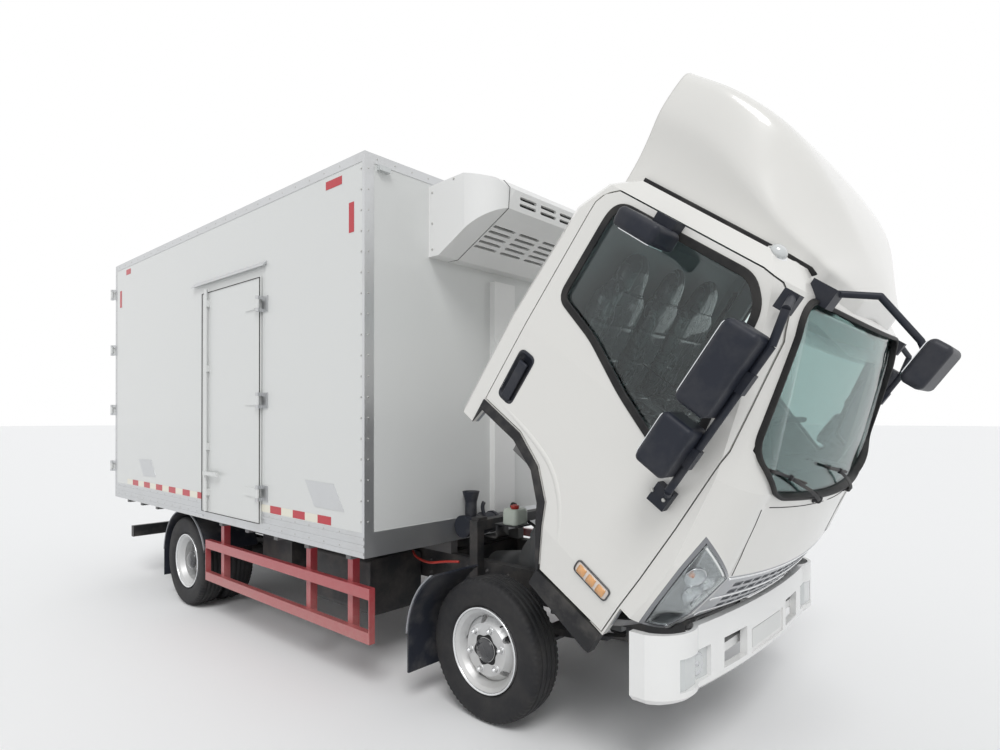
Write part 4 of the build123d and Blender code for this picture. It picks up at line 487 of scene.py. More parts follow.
class Finish(NodeTree):
    """A material being built round one shader, filed under its name."""

    def __init__(self, name):
        self.material = bpy.data.materials.new(name)
        self.material.use_nodes = True
        super().__init__(self.material.node_tree)
        surface = self.node("ShaderNodeBsdfPrincipled")
        self.shader = surface.socket.node
        self.out = self.node("ShaderNodeOutputMaterial", values={0: surface})
        FINISHES[name] = self.material

    def place(self):
        """Object coordinates, the fourth output of Texture Coordinate."""
        return self.node("ShaderNodeTexCoord", output=3)

    def axes(self):
        """Object coordinates as three fields, in metres."""
        split = self.node("ShaderNodeSeparateXYZ", values={0: self.place()}).socket.node
        return [Field(self, output) for output in split.outputs]

    def noise(self, scale, detail=3.0, rough=0.55, stretch=(1, 1, 1), turn=(0, 0, 0)):
        """Noise in object space, about 0.5, with the pattern stretched along an axis."""
        where = self.node("ShaderNodeMapping", {"vector_type": "POINT"}, {0: self.place(), 2: turn, 3: stretch})
        values = {"Vector": where, "Scale": scale, "Detail": detail, "Roughness": rough}
        return self.node("ShaderNodeTexNoise", {}, values)

    def mixed(self, share, first, second):
        """Colour between first and second."""
        return self.node("ShaderNodeMix", {"data_type": "RGBA"}, {0: share, 6: first, 7: second}, output=2)

    def bump(self, height, strength, distance):
        return self.node("ShaderNodeBump", {}, {"Strength": strength, "Distance": distance, "Height": height})

    def lowered(self):
        """Object coordinates turned back by the cab's tilt, in metres: x and z of the lowered cab, and |y|."""
        x, y, z = self.axes()
        c, s = math.cos(CAB_TILT), math.sin(CAB_TILT)
        dx = x - (PIVOT[0] - ORIGIN_X) / 1000
        dz = z - PIVOT[1] / 1000
        return dx * c - dz * s + PIVOT[0] / 1000, y.size(), dx * s + dz * c + PIVOT[1] / 1000

    def stepped(self, field, table):
        """Straight runs through (input, output) pairs in millimetres, as a sum of clamped ramps in metres."""
        total = table[0][1] / 1000
        for (a, low), (b, high) in zip(table[:-1], table[1:]):
            total = field.ramp(a / 1000, b / 1000) * ((high - low) / 1000) + total
        return total

    def set(self, **sockets):
        """Shader sockets by name with underscores for spaces."""
        for key, value in sockets.items():
            self.put(self.shader.inputs[key.replace("_", " ")], value)
        return self


def painted(name, colour, rough=0.28, coat=0.6, dust=0.25, dust_tone=(0.46, 0.42, 0.36), dust_top=0.9, metal=0.0):
    """Gloss paint: orange-peel bump, faint cloudiness, and road dust that fades out with height."""
    f = Finish(name)
    cloud = f.noise(1.7, 4)
    speck = f.noise(38, 5, 0.7)
    low = 1 - f.axes()[2].ramp(0.05, dust_top)
    film = (low * (speck * 0.9 + cloud * 0.5) * dust).least(0.85)
    tone = f.mixed(cloud * 0.05, colour, tuple(c * 0.86 for c in colour))
    f.set(Base_Color=f.mixed(film, tone, dust_tone), Roughness=(film * 0.5 + speck * 0.05 + rough).least(0.9))
    f.set(Normal=f.bump(f.noise(260, 2), 0.05, 0.0004), Coat_Weight=coat, Coat_Roughness=0.06, Metallic=metal)
    return f


def lined_paint(name, colour, lining):
    """Cab paint outside and grey lining inside: a point is inside when it lies 20 mm behind the skin all round."""
    f = painted(name, colour, dust=0.35, dust_top=0.8)
    x, y, z = f.lowered()
    rows = CAB_SECTIONS
    rear, half, side_end, knee_x, knee_y, nose = [
        f.stepped(z, [(row[0], row[i]) for row in rows]) for i in (1, 2, 3, 4, 5, 6)
    ]
    behind = (x - rear).over(0.02) * (half - y).over(0.02) * (2.202 - z).over(0)
    bow = (nose - (nose - knee_x) * ((y / knee_y) ** 2)) - x
    ahead = (side_end - x).over(0.022).most((knee_y - y).over(0.02) * bow.over(0.022))
    inside = behind * ahead
    cloth = f.noise(240, 3)
    paint, rough = [Field(f, f.shader.inputs[key].links[0].from_socket) for key in ("Base Color", "Roughness")]
    f.set(Base_Color=f.mixed(inside, paint, lining))
    f.set(Roughness=inside * (cloth * 0.1 + 0.35) + rough, Coat_Weight=(1 - inside) * 0.6)


def chassis_paint(name, colour, rough=0.5, dust=0.5):
    """Frame paint: slightly rough casting or weld texture under a film of dry dust."""
    f = Finish(name)
    grit = f.noise(90, 6, 0.7)
    patch = f.noise(5, 5, 0.65)
    film = ((patch - 0.42).ramp(0.0, 0.3) * (grit * 0.6 + 0.3) * dust).least(0.8)
    f.set(Base_Color=f.mixed(film, colour, (0.24, 0.215, 0.185)), Roughness=(film * 0.35 + rough).least(0.95))
    f.set(Normal=f.bump(grit, 0.25, 0.0006))


def brushed(name, colour, rough=0.32, stretch=(1, 40, 40), dust=0.2, metal=0.9):
    """Rolled or brushed metal: fine lines along one axis, with soft stains."""
    f = Finish(name)
    lines = f.noise(30, 4, 0.6, stretch)
    stain = f.noise(3.5, 5, 0.6)
    film = (stain - 0.5).ramp(0.0, 0.3) * dust
    tone = f.mixed(lines * 0.35, colour, tuple(c * 0.72 for c in colour))
    f.set(Base_Color=f.mixed(film, tone, (0.42, 0.4, 0.37)), Roughness=lines * 0.16 + film * 0.3 + rough)
    f.set(Metallic=metal - film * 0.5, Normal=f.bump(lines, 0.08, 0.0003))


def moulded(name, colour, rough=0.5, grain=420, depth=0.00025, dust=0.25):
    """Moulded plastic: fine leather-like grain and a light film of dust."""
    f = Finish(name)
    cell = f.node("ShaderNodeTexVoronoi", {"feature": "SMOOTH_F1"}, {"Vector": f.place(), "Scale": grain})
    patch = f.noise(6, 5, 0.6)
    film = (patch - 0.45).ramp(0.0, 0.3) * dust
    f.set(Base_Color=f.mixed(film, colour, (0.3, 0.28, 0.25)), Roughness=film * 0.3 + patch * 0.08 + rough)
    f.set(Normal=f.bump(cell, 0.3, depth), Specular_IOR_Level=0.28)


def cast_rubber(name="tyre_rubber"):
    """Tyre rubber: matt, dusty in the grooves, with fine rings on the walls."""
    f = Finish(name)
    grit = f.noise(160, 5, 0.7)
    patch = f.noise(7, 5, 0.65)
    film = ((patch - 0.4).ramp(0.0, 0.35) * (grit * 0.7 + 0.2) * 0.32).least(0.5)
    f.set(Base_Color=f.mixed(film, (0.018, 0.018, 0.02), (0.13, 0.12, 0.105)), Roughness=film * 0.2 + 0.62)
    f.set(Normal=f.bump(grit, 0.3, 0.0006), Specular_IOR_Level=0.3)


def clear_glass(name="cab_glass", tint=(0.93, 0.965, 0.96), extra=0.012):
    """Glass: clear straight through, with a mirror sheen whose share follows Fresnel's law."""
    f = Finish(name)
    f.set(Base_Color=(0.92, 0.95, 0.96), Roughness=0.02, Metallic=1.0)
    clear = f.node("ShaderNodeBsdfTransparent", values={0: tint})
    sheen = f.node("ShaderNodeFresnel", values={"IOR": 1.5})
    share = (sheen * 0.62 + f.noise(3, 4) * extra).least(0.9)
    mirror = Field(f, f.shader.outputs[0])
    f.put(f.out.inputs[0], f.node("ShaderNodeMixShader", values={0: share, 1: clear, 2: mirror}))


def shade_band(name="teal_band", colour=(0.004, 0.34, 0.33)):
    """Tinted band: its alpha falls from 0.95 at the top edge to nothing about 120 mm below."""
    f = Finish(name)
    height = f.lowered()[2]
    f.set(Base_Color=colour, Roughness=0.1, Alpha=height.ramp(1.97, 2.06) * 0.95)


def wrapped_cloth(name="wrapped_cloth", colour=(0.05, 0.053, 0.06)):
    """Dark seat cloth under clear film: fine weave, and long creases from ridged, stretched noise in the gloss; the
    creases are also lightened in the base colour as a painted highlight of the film.
    """
    f = Finish(name)
    x, y, z = f.axes()
    thread = ((x + z) * 2200).sine() * (y * 2200).sine() * 0.5 + 0.5
    long = f.noise(4.2, 3, 0.5, (1, 2.0, 0.7), (0.4, 0.2, 0.7))
    cross = f.noise(8.5, 3, 0.5, (2.0, 0.8, 1), (0.9, 0.5, 0.1))
    crease_and_highlight = (1 - (long - 0.5).size() * 34).most(0) + (1 - (cross - 0.5).size() * 44).most(0) * 0.5
    tone = f.mixed(thread * 0.4, colour, tuple(c * 1.8 for c in colour))
    # Painted highlight: the crease lines mix the base colour towards pale grey, standing in for light caught by the
    # creased film.
    f.set(Base_Color=f.mixed((crease_and_highlight ** 2 * 0.3).least(0.3), tone, (0.6, 0.62, 0.65)), Roughness=0.5 - crease_and_highlight * 0.1)
    f.set(Coat_Weight=1.0, Coat_Roughness=0.07, Normal=f.bump(crease_and_highlight * 0.5 + long, 1.0, 0.02))


def plain_gloss(name, colour, rough=0.15, metal=0.0, coat=0.8, noise=0.05):
    """Smooth hard surface with a faint mottle in its gloss."""
    f = Finish(name)
    mottle = f.noise(24, 4)
    f.set(Base_Color=f.mixed(mottle * 0.12, colour, tuple(c * 0.8 for c in colour)), Metallic=metal)
    f.set(Roughness=mottle * noise + rough, Coat_Weight=coat, Coat_Roughness=0.04)


def woven(name="seat_cloth", colour=(0.075, 0.078, 0.085)):
    """Seat cloth: crossed threads by sine waves in two directions, with a soft nap."""
    f = Finish(name)
    x, y, z = f.axes()
    weft = ((x + z) * 2600).sine()
    warp = (y * 2600).sine()
    thread = weft * warp * 0.5 + 0.5
    nap = f.noise(60, 4)
    f.set(Base_Color=f.mixed(thread * 0.5 + nap * 0.3, colour, tuple(c * 1.9 for c in colour)), Roughness=0.85)
    f.set(Normal=f.bump(thread, 0.4, 0.0004), Sheen_Weight=0.3)


def make_finishes():
    """Every finish used on the truck."""
    c = bpy.context.scene.truck_colours
    lined_paint("cab_paint", tuple(c.cab), (0.3, 0.31, 0.33))
    painted("shell_paint", tuple(c.cab), dust=0.3, dust_top=0.8)
    painted("bumper_paint", tuple(c.bumper), dust=0.35, dust_top=0.55)
    painted("panel_skin", tuple(c.panel), rough=0.34, coat=0.35, dust=0.12, dust_top=1.3)
    painted("cooler_cover", tuple(c.bumper), rough=0.36, coat=0.2, dust=0.05)
    painted("guard_paint", tuple(c.guard), rough=0.3, coat=0.7, dust=0.55, dust_top=0.9)
    painted("rim_paint", (0.62, 0.63, 0.64), rough=0.34, coat=0.2, dust=0.4, dust_top=0.9, metal=0.55)
    chassis_paint("frame_paint", (0.022, 0.023, 0.026), 0.42, 0.5)
    chassis_paint("cast_iron_paint", (0.035, 0.036, 0.04), 0.55, 0.7)
    chassis_paint("engine_paint", (0.16, 0.165, 0.17), 0.5, 0.5)
    chassis_paint("underfloor", (0.2, 0.2, 0.205), 0.6, 0.4)
    brushed("trim_alloy", (0.66, 0.67, 0.68), 0.3)
    brushed("portal_stainless", (0.6, 0.61, 0.62), 0.25, (40, 40, 1), 0.1)
    brushed("radiator_fins", (0.3, 0.31, 0.32), 0.5, (1, 60, 2), 0.5)
    brushed("pipe_steel", (0.32, 0.29, 0.26), 0.5, (1, 20, 20), 0.6)
    moulded("dark_moulding", (0.022, 0.025, 0.035), 0.45)
    moulded("trim_black", (0.018, 0.018, 0.02), 0.5, 520)
    moulded("dash_grain", (0.11, 0.112, 0.118), 0.6, 380, 0.0004, 0.1)
    moulded("mirror_shell", (0.017, 0.02, 0.03), 0.4, 600, 0.0002, 0.1)
    moulded("rubber_seal", (0.012, 0.012, 0.013), 0.55, 700, 0.0002, 0.1)
    cast_rubber()
    clear_glass()
    # Windshield: a darker green tint than the side windows. Part of it is real tinted glass, and part is painted
    # reflection that stands in for dark trees mirrored in the glass.
    clear_glass("windshield_glass", (0.6, 0.71, 0.69), 0.03)
    shade_band()
    wrapped_cloth()
    woven()
    plain_gloss("chrome", (0.82, 0.83, 0.84), 0.06, 1.0, 0.3)
    plain_gloss("silver_mesh", (0.42, 0.43, 0.45), 0.3, 0.75, 0.2)
    plain_gloss("mirror_glass", (0.78, 0.8, 0.82), 0.02, 1.0, 0.0, 0.01)
    plain_gloss("amber_lens", (0.75, 0.22, 0.02), 0.12)
    plain_gloss("red_lens", (0.45, 0.01, 0.01), 0.15)
    plain_gloss("red_tape", (0.5, 0.015, 0.03), 0.3, 0.0, 0.3)
    plain_gloss("cream_tape", (0.78, 0.75, 0.64), 0.3, 0.0, 0.3)
    plain_gloss("bolt_zinc", (0.5, 0.5, 0.48), 0.35, 0.85, 0.0)
    plain_gloss("lamp_bowl", (0.62, 0.63, 0.65), 0.1, 0.9, 0.2)
    # Near-black: real dark joints on the panel and cooler seams, and painted shade on the sheets behind the grille,
    # inside the cooler slots and on the hub recesses.
    plain_gloss("joint_and_shade_black", (0.01, 0.01, 0.011), 0.7, 0.0, 0.0)
    plain_gloss("red_hose", (0.45, 0.03, 0.02), 0.4, 0.0, 0.2)
    plain_gloss("coolant_bottle", (0.62, 0.68, 0.6), 0.35, 0.0, 0.2)
    plain_gloss("bright_rim", (0.78, 0.79, 0.8), 0.2, 0.9, 0.2)
    plain_gloss("edge_grey", (0.3, 0.31, 0.33), 0.4, 0.3, 0.1)
    plain_gloss("slot_gloss", (0.012, 0.012, 0.014), 0.06, 0.0, 1.0)
    plain_gloss("side_lamp_lens", (0.68, 0.6, 0.54), 0.12, 0.0, 1.0)
    plain_gloss("side_lamp_cell", (0.72, 0.36, 0.13), 0.14, 0.0, 1.0)
    plain_gloss("lamp_frame", (0.23, 0.235, 0.25), 0.22, 0.4, 0.5)
    plain_gloss("lamp_housing", (0.03, 0.031, 0.035), 0.15, 0.0, 0.8)
    plain_gloss("lamp_white", (0.85, 0.86, 0.85), 0.2, 0.0, 0.8)
    plain_gloss("marker_lens", (0.6, 0.62, 0.62), 0.1, 0.2, 1.0)
    moulded("valve_rubber", (0.02, 0.02, 0.02), 0.6)
    clear_glass("clear_lens", (0.97, 0.98, 0.98), 0.04)


NODE_FINISH = {
    "frame_rails": "frame_paint", "crossmembers": "frame_paint", "rear_underrun": "frame_paint",
    "front_axle": "cast_iron_paint", "rear_axle": "cast_iron_paint", "leaf_springs": "cast_iron_paint",
    "knuckle_left": "cast_iron_paint", "knuckle_right": "cast_iron_paint",
    "engine": "engine_paint", "radiator": "radiator_fins", "exhaust": "pipe_steel",
    "chassis_boxes": "frame_paint", "side_guards": "guard_paint",
    "mudguards": "dark_moulding", "bumper": "bumper_paint", "lamps": "marker_lens",
    "cab_mounts": "frame_paint", "air_intake": "dark_moulding", "box_floor": "underfloor",
    "box_roof": "panel_skin", "box_front_wall": "panel_skin", "box_left_wall": "panel_skin",
    "box_right_wall": "panel_skin", "box_trims": "trim_alloy", "rear_portal": "portal_stainless",
    "side_hinges": "portal_stainless", "reefer_unit": "cooler_cover", "side_door": "panel_skin",
    "rear_door_left": "panel_skin", "rear_door_right": "panel_skin",
    "wheel_front_left": "rim_paint", "wheel_front_right": "rim_paint",
    "wheel_rear_left": "rim_paint", "wheel_rear_right": "rim_paint",
    "tyre_front_left": "tyre_rubber", "tyre_front_right": "tyre_rubber",
    "tyre_rear_left": "tyre_rubber", "tyre_rear_right": "tyre_rubber",
    "cab_floor": "underfloor", "cab_rear_wall": "cab_paint", "cab_sides": "cab_paint",
    "cab_roof": "cab_paint", "cab_front": "cab_paint", "cab_glass": "windshield_glass",
    "headlamps": "lamp_frame", "grille": "silver_mesh", "arch_trims": "trim_black",
    "wind_deflector": "shell_paint", "dashboard": "dash_grain", "steering_wheel": "trim_black",
    "seats": "seat_cloth", "front_mirror": "mirror_shell",
    "cab_door_left": "cab_paint", "cab_door_right": "cab_paint",
    "door_glass_left": "cab_glass", "door_glass_right": "cab_glass",
    "door_mirrors_left": "mirror_shell", "door_mirrors_right": "mirror_shell",
}


def dress(obj, finish, body):
    """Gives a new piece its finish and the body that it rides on."""
    obj.data.materials.append(FINISHES[finish])
    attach(obj, body)
    return obj


def piece(name, grids, finish, body, smooth=True):
    """A new piece from grids in millimetres, in the lowered cab's places when it rides on the cab or its doors."""
    place = tilted if body.startswith("cab") else fixed
    return dress(skin_mesh(name, grids, place, smooth), finish, body)


SIDES = {"left": 1, "right": -1}


# Property groups

def colour_prop(name, text, value):
    return bpy.props.FloatVectorProperty(
        name=name, description=text, subtype="COLOR", size=3, min=0, max=1, default=value
    )


class TruckColours(bpy.types.PropertyGroup):
    """Paint colours of the truck."""

    cab: colour_prop("Cab", "Warm white cab paint", (0.74, 0.73, 0.7))
    bumper: colour_prop("Bumper", "Bumper, cooler and deflector white", (0.8, 0.8, 0.79))
    panel: colour_prop("Box panels", "Off-white skin of the insulated box", (0.68, 0.69, 0.68))
    guard: colour_prop("Side guards", "Crimson paint of the side guards", (0.4, 0.012, 0.03))


class TyreSizes(bpy.types.PropertyGroup):
    """Sizes of the tread, in millimetres."""

    groove_depth: bpy.props.FloatProperty(
        name="Groove depth", description="Depth of the tread grooves in millimetres", default=10.0, min=2, max=16
    )
    groove_width: bpy.props.FloatProperty(
        name="Groove width", description="Width of the tread grooves in millimetres", default=9.0, min=3, max=16
    )
    notches: bpy.props.IntProperty(
        name="Shoulder notches", description="Notches round each shoulder", default=72, min=24, max=120
    )


class StageLight(bpy.types.PropertyGroup):
    """Strengths of the plain studio light."""

    sky: bpy.props.FloatProperty(name="Sky", description="Light from all round", default=0.62, min=0, max=2)
    key: bpy.props.FloatProperty(
        name="Key", description="Soft main lamp, W per square metre", default=1.35, min=0, max=6
    )


# Operators

class TRUCK_OT_stage(bpy.types.Operator):
    """Pale floor, plain light and the camera"""

    bl_idname = "truck.stage"
    bl_label = "Stage"

    def execute(self, context):
        scene = context.scene
        scene.view_settings.view_transform = "Standard"
        light = scene.truck_light
        scene.world = bpy.data.worlds.new("studio")
        scene.world.use_nodes = True
        world = NodeTree(scene.world.node_tree)
        rays = world.node("ShaderNodeLightPath").socket.node.outputs
        camera_ray, glossy_ray, clear_ray = [
            Field(world, rays[f"Is {kind} Ray"]) for kind in ("Camera", "Glossy", "Transmission")
        ]
        sky = world.node("ShaderNodeBackground", values={0: (0.97, 0.985, 1), 1: light.sky})
        backdrop = world.node("ShaderNodeBackground", values={0: (1, 1, 1), 1: 1.0})
        seen = camera_ray.most(glossy_ray.most(clear_ray))
        mixed = world.node("ShaderNodeMixShader", values={0: seen, 1: sky, 2: backdrop})
        world.node("ShaderNodeOutputWorld", values={0: mixed})

        lamp = bpy.data.lights.new("key", "SUN")
        lamp.energy = light.key
        lamp.angle = math.radians(24)
        lamp_obj = bpy.data.objects.new("key", lamp)
        lamp_obj.rotation_euler = (math.radians(38), math.radians(12), math.radians(28))
        scene.collection.objects.link(lamp_obj)

        t = np.linspace(0, 2 * np.pi, 64, endpoint=False)
        radii = np.array([0.0, 6, 14, 40, 120])[:, None]
        disc = np.stack([radii * np.cos(t), radii * np.sin(t), np.full((5, 64), -0.0005)], -1) * 1000
        floor = skin_mesh("studio_floor", [closed_loop(disc)])
        pale = Finish("pale_floor")
        cloud = pale.noise(0.8, 3) * 0.06
        pale.set(Base_Color=pale.mixed(cloud, (0.92, 0.92, 0.92), (0.87, 0.87, 0.87)), Roughness=0.8)
        floor.data.materials.append(pale.material)

        camera = bpy.data.cameras.new("camera")
        camera.lens = 22.6
        camera.sensor_width = 36
        camera.shift_y = 0.0385
        camera.clip_end = 300
        camera_obj = bpy.data.objects.new("camera", camera)
        camera_obj.location = (4.10408 - ORIGIN_X / 1000, -3.25314, 1.61073)
        camera_obj.rotation_euler = (math.radians(90.22), 0, math.radians(41.8))
        scene.collection.objects.link(camera_obj)
        scene.camera = camera_obj
        return {"FINISHED"}


class TRUCK_OT_finishes(bpy.types.Operator):
    """Paints, rubber, glass and cloth on every solid"""

    bl_idname = "truck.finishes"
    bl_label = "Finishes"

    def execute(self, context):
        make_finishes()
        for node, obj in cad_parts.items():
            obj.data.materials.clear()
            obj.data.materials.append(FINISHES[NODE_FINISH[node]])
        return {"FINISHED"}


def tread_profile(sizes, radius=376.0):
    """Tyre section as (outward, radius): bead, bulged wall with raised rings, shoulder, and four sunk grooves."""
    depth, width = sizes.groove_depth, sizes.groove_width
    wall = [
        (70.0, 207), (70.0, 226), (80, 233), (86, 240), (91, 252), (96, 270), (98.5, 288), (99, 300),
        (98.6, 312), (99.0, 318), (98.4, 324), (97.6, 334), (96.5, 346), (94, 356), (89, 363), (82, 368),
    ]
    crown = []
    for centre in (54, 18):
        rise = lambda y: radius - 6.5 * (y / 82) ** 2
        crown += [(centre + width / 2 + 1, rise(centre + width / 2 + 1)), (centre + width / 2, rise(centre) - 1)]
        crown += [(centre + width / 2 - 1, rise(centre) - depth), (centre - width / 2 + 1, rise(centre) - depth)]
        crown += [(centre - width / 2, rise(centre) - 1), (centre - width / 2 - 1, rise(centre - width / 2 - 1))]
    right = wall + crown
    return np.array(right + [(-a, b) for a, b in right[::-1]])


def tyre_grid(x, y, z, side, sizes):
    """Tread profile turned about the axle; each shoulder point sinks where a notch passes."""
    prof = tread_profile(sizes)
    turns = sizes.notches * 4
    grid = spun(prof, (x, y, z), side, turns)
    a = np.linspace(0, 2 * np.pi, turns + 1)
    cut = (np.arange(turns + 1) % 4) < 1.5
    shoulder = (np.abs(prof[:, 0]) > 80) & (prof[:, 1] > 350)
    drop = np.where(shoulder[:, None] & cut[None], 4.5, 0.0)
    grid[..., 0] -= drop * np.cos(a)
    grid[..., 2] -= drop * np.sin(a)
    return np.concatenate([grid, grid[:1]], 0)


class TRUCK_OT_tyres(bpy.types.Operator):
    """Tyres with grooved tread, notched shoulders and ringed walls"""

    bl_idname = "truck.tyres"
    bl_label = "Tyres"

    def execute(self, context):
        sizes = context.scene.truck_tyres
        for name, side in SIDES.items():
            front = piece(
                f"tread_front_{name}",
                [tyre_grid(FRONT_AXLE[0], side * FRONT_TRACK, FRONT_AXLE[1], side, sizes)], "tyre_rubber",
                f"wheel_front_{name}"
            )
            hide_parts(f"tyre_front_{name}")
            rear = piece(
                f"tread_rear_{name}",
                [tyre_grid(REAR_AXLE[0], side * y, REAR_AXLE[1], side, sizes) for y in REAR_TRACKS],
                "tyre_rubber", f"wheel_rear_{name}"
            )
            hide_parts(f"tyre_rear_{name}")
        return {"FINISHED"}


# Glass edges: the windshield as (y, z) on the front skin, a door window as (x, z) on the side skin
WINDSHIELD_LINE = [
    (-640, 1425), (640, 1425), (890, 1585), (825, 2085), (775, 2138), (-775, 2138), (-825, 2085), (-890, 1585),
]
WINDOW_LINE = [
    (1640, 1640), (1640, 2060), (1680, 2100), (2330, 2110), (2420, 2030), (2545, 1400),
    (2520, 1350), (2370, 1400), (2150, 1470), (1889, 1580),
]


class TRUCK_OT_seals(bpy.types.Operator):
    """Rubber seals round the windshield and the door windows"""

    bl_idname = "truck.seals"
    bl_label = "Seals"

    def execute(self, context):
        line = resampled(softened(WINDSHIELD_LINE, 60), 30, True)
        path = on_front(line, -2)
        piece(
            "windshield_seal", [swept(rounded_bar(16, 44, 5), path, (1, 0, 0), True)], "rubber_seal", "cab",
        )
        for name, side in SIDES.items():
            line = resampled(softened(WINDOW_LINE, 50), 30, True)
            path = on_side(line, side, -1)
            frame_strip = swept(rounded_bar(34, 12, 4), path, (0, 1, 0), True)
            piece(f"window_seal_{name}", [frame_strip], "rubber_seal", f"cab_door_{name}")
        return {"FINISHED"}


# Box sides: run of the lower tape, corner marks by their low and high (x, z), and the blank plates
TAPE_RUN = (-2633, 844)
TAPE_MARKS = [
    ((786, 2975), (954, 3025)),
    ((1025, 2671), (1075, 2845)),
    ((-2680, 2980), (-2560, 3030)),
    ((-2855, 2680), (-2805, 2845)),
]
BARE_PLATES = [
    [(-2328, 1208), (-2017, 1216), (-1914, 1067), (-2215, 1057)],
    [(557, 1210), (874, 1204), (982, 1049), (666, 1052)],
]


class TRUCK_OT_tapes(bpy.types.Operator):
    """Reflective tapes and bare plates on the box"""

    bl_idname = "truck.tapes"
    bl_label = "Tapes"

    def execute(self, context):
        red, cream, bare = [], [], []
        edges = np.linspace(*TAPE_RUN, 25)
        for side in (-1, 1):
            y, out = side * (BOX_SIDE + 0.6), (0, side, 0)
            for i, (a, b) in enumerate(zip(edges[:-1], edges[1:])):
                strip = rectangle((a, 955), (b, 1005))
                (red if i % 2 else cream).append(plate(flat(strip, 1, y), 1.0, out))
            red += [plate(flat(rectangle(*mark), 1, y), 1.0, out) for mark in TAPE_MARKS]
            bare += [plate(flat(outline, 1, y), 2.0, out) for outline in BARE_PLATES]
        piece("tape_red", red, "red_tape", "chassis", smooth=False)
        piece("tape_cream", cream, "cream_tape", "chassis", smooth=False)
        piece("bare_plates", bare, "trim_alloy", "chassis", smooth=False)
        return {"FINISHED"}


# Wheels: profiles as (outward, radius), and the face that the nuts of each end stand on
NUT_FACE = {"front": 62.0, "rear": -104.0}
NUT_CIRCLE = 111.1
LIP = [(78, 219), (80, 224.5), (85, 227), (89, 225), (90, 220), (87, 216), (82, 213), (78, 214), (78, 219)]
NUT_DOME = [(-2, 0), (-2, 19), (1.5, 19), (1.5, 15), (2, 13), (2, 0)]
NUT_CROWN = [(18, 0), (18, 13.2), (23, 12), (28, 8.5), (30.5, 4), (31, 0)]
VALVE = [(0, 0), (0, 7), (18, 5.5), (30, 4), (30, 5), (42, 5), (42, 0)]
HUB_CAP = {
    "front": [(60, 0), (60, 62), (73, 62), (76, 58), (77.5, 44), (80, 41), (84, 36), (86, 20), (86.5, 0)],
    "rear": [(38, 0), (38, 76), (44, 75), (57, 62), (60, 50), (63, 47), (66, 30), (67, 0)],
}


def lobed_recess_shade(centre, side, face, first):
    """Flat ring round the front hub, near-black as painted shade for the depth of the hub recess: its outer radius is
    78 + 7 cos 6(a - first).
    """
    inner, outer = 48, 70
    section = [(0.4, inner), (0.4, outer), (2.4, outer), (2.4, inner), (0.4, inner)]
    grid = spun([(face + out, r) for out, r in section], centre, side)
    turn = np.linspace(0, 2 * np.pi, grid.shape[1] - 1, endpoint=False)
    share = (78 + 7 * np.cos(6 * (turn - first))) / outer
    share = np.where(np.array([1, 0, 0, 1, 1])[:, None] > 0, 1.0, share)
    for axis in (0, 2):
        grid[:, :-1, axis] = centre[axis] + (grid[:, :-1, axis] - centre[axis]) * share
    grid[:, -1] = grid[:, 0]
    return grid


class TRUCK_OT_wheels(bpy.types.Operator):
    """Rim lips, domed nuts, near-black lobed rings as painted shade in the hub recesses, hub caps and valves"""

    bl_idname = "truck.wheels"
    bl_label = "Wheels"

    def execute(self, context):
        for name, side in SIDES.items():
            front = (FRONT_AXLE[0], side * FRONT_TRACK, FRONT_AXLE[1])
            rear = (REAR_AXLE[0], side * REAR_TRACKS[0], REAR_AXLE[1])
            for end, centre, first in (("front", front, math.radians(12)), ("rear", rear, 0.0)):
                body, out, face = f"wheel_{end}_{name}", (0, side, 0), NUT_FACE[end]
                piece(f"rim_lip_{end}_{name}", [spun(LIP, centre, side)], "bright_rim", body)
                a = first + np.radians(60 * np.arange(6))
                nuts = np.stack([NUT_CIRCLE * np.cos(a), np.full(6, side * face), NUT_CIRCLE * np.sin(a)], -1) + centre
                crowns = studs(nuts, out, NUT_DOME, 24) + studs(nuts, out, NUT_CROWN, 24)
                piece(f"wheel_nuts_{end}_{name}", crowns, "bright_rim", body)
                if end == "front":
                    # Painted shade: a flat near-black lobed ring on the wheel face stands in for the shaded hub
                    # recess.
                    recess = lobed_recess_shade(centre, side, face, first)
                    piece(f"hub_recess_shade_{name}", [recess], "joint_and_shade_black", body)
                cap = spun(HUB_CAP[end], centre, side)
                piece(f"hub_cap_{end}_{name}", [cap], "lamp_housing", body)
                foot = np.array([192 * math.cos(0.9), side * 40, 192 * math.sin(0.9)]) + centre
                piece(f"valve_{end}_{name}", studs(foot, out, VALVE, 14), "valve_rubber", body)
        return {"FINISHED"}


# Wind deflector on the lowered cab: x, half width of the foot, half width and height of the crease,
# half width and height of the shoulder, height of the crown
DEFLECTOR_SECTIONS = np.array(
    [
        (1520, 802, 822, 2480, 780, 2686, 2697),
        (1790, 802, 820, 2470, 775, 2684, 2695),
        (2050, 796, 808, 2400, 700, 2630, 2644),
        (2250, 768, 770, 2325, 530, 2522, 2540),
        (2400, 690, 680, 2280, 330, 2400, 2418),
        (2490, 570, 552, 2250, 210, 2314, 2330),
        (2535, 360, 340, 2226, 130, 2262, 2272),
    ],
    float,
)


def deflector_foot():
    """Line where the deflector meets the roof: the flat roof's height, then down the front skin, right half."""
    x = np.array([1520, 1615, 1790, 1930, 2050, 2150, 2250, 2330, 2400, 2450, 2490, 2516, 2533, 2535], float)
    y = np.array([806, 808, 808, 806, 800, 788, 772, 732, 688, 625, 566, 462, 358, 0], float)
    heights = np.linspace(2222, 2140, 42)
    z = np.full(len(x), 2222.0)
    z[0] = 2146
    for i in np.flatnonzero(x >= 2400):
        reach = on_front(np.stack([np.full(42, y[i]), heights], -1))[:, 0]
        if x[i] > reach[0]:
            z[i] = np.interp(x[i], reach, heights)
    return np.stack([x, -y, z], -1)


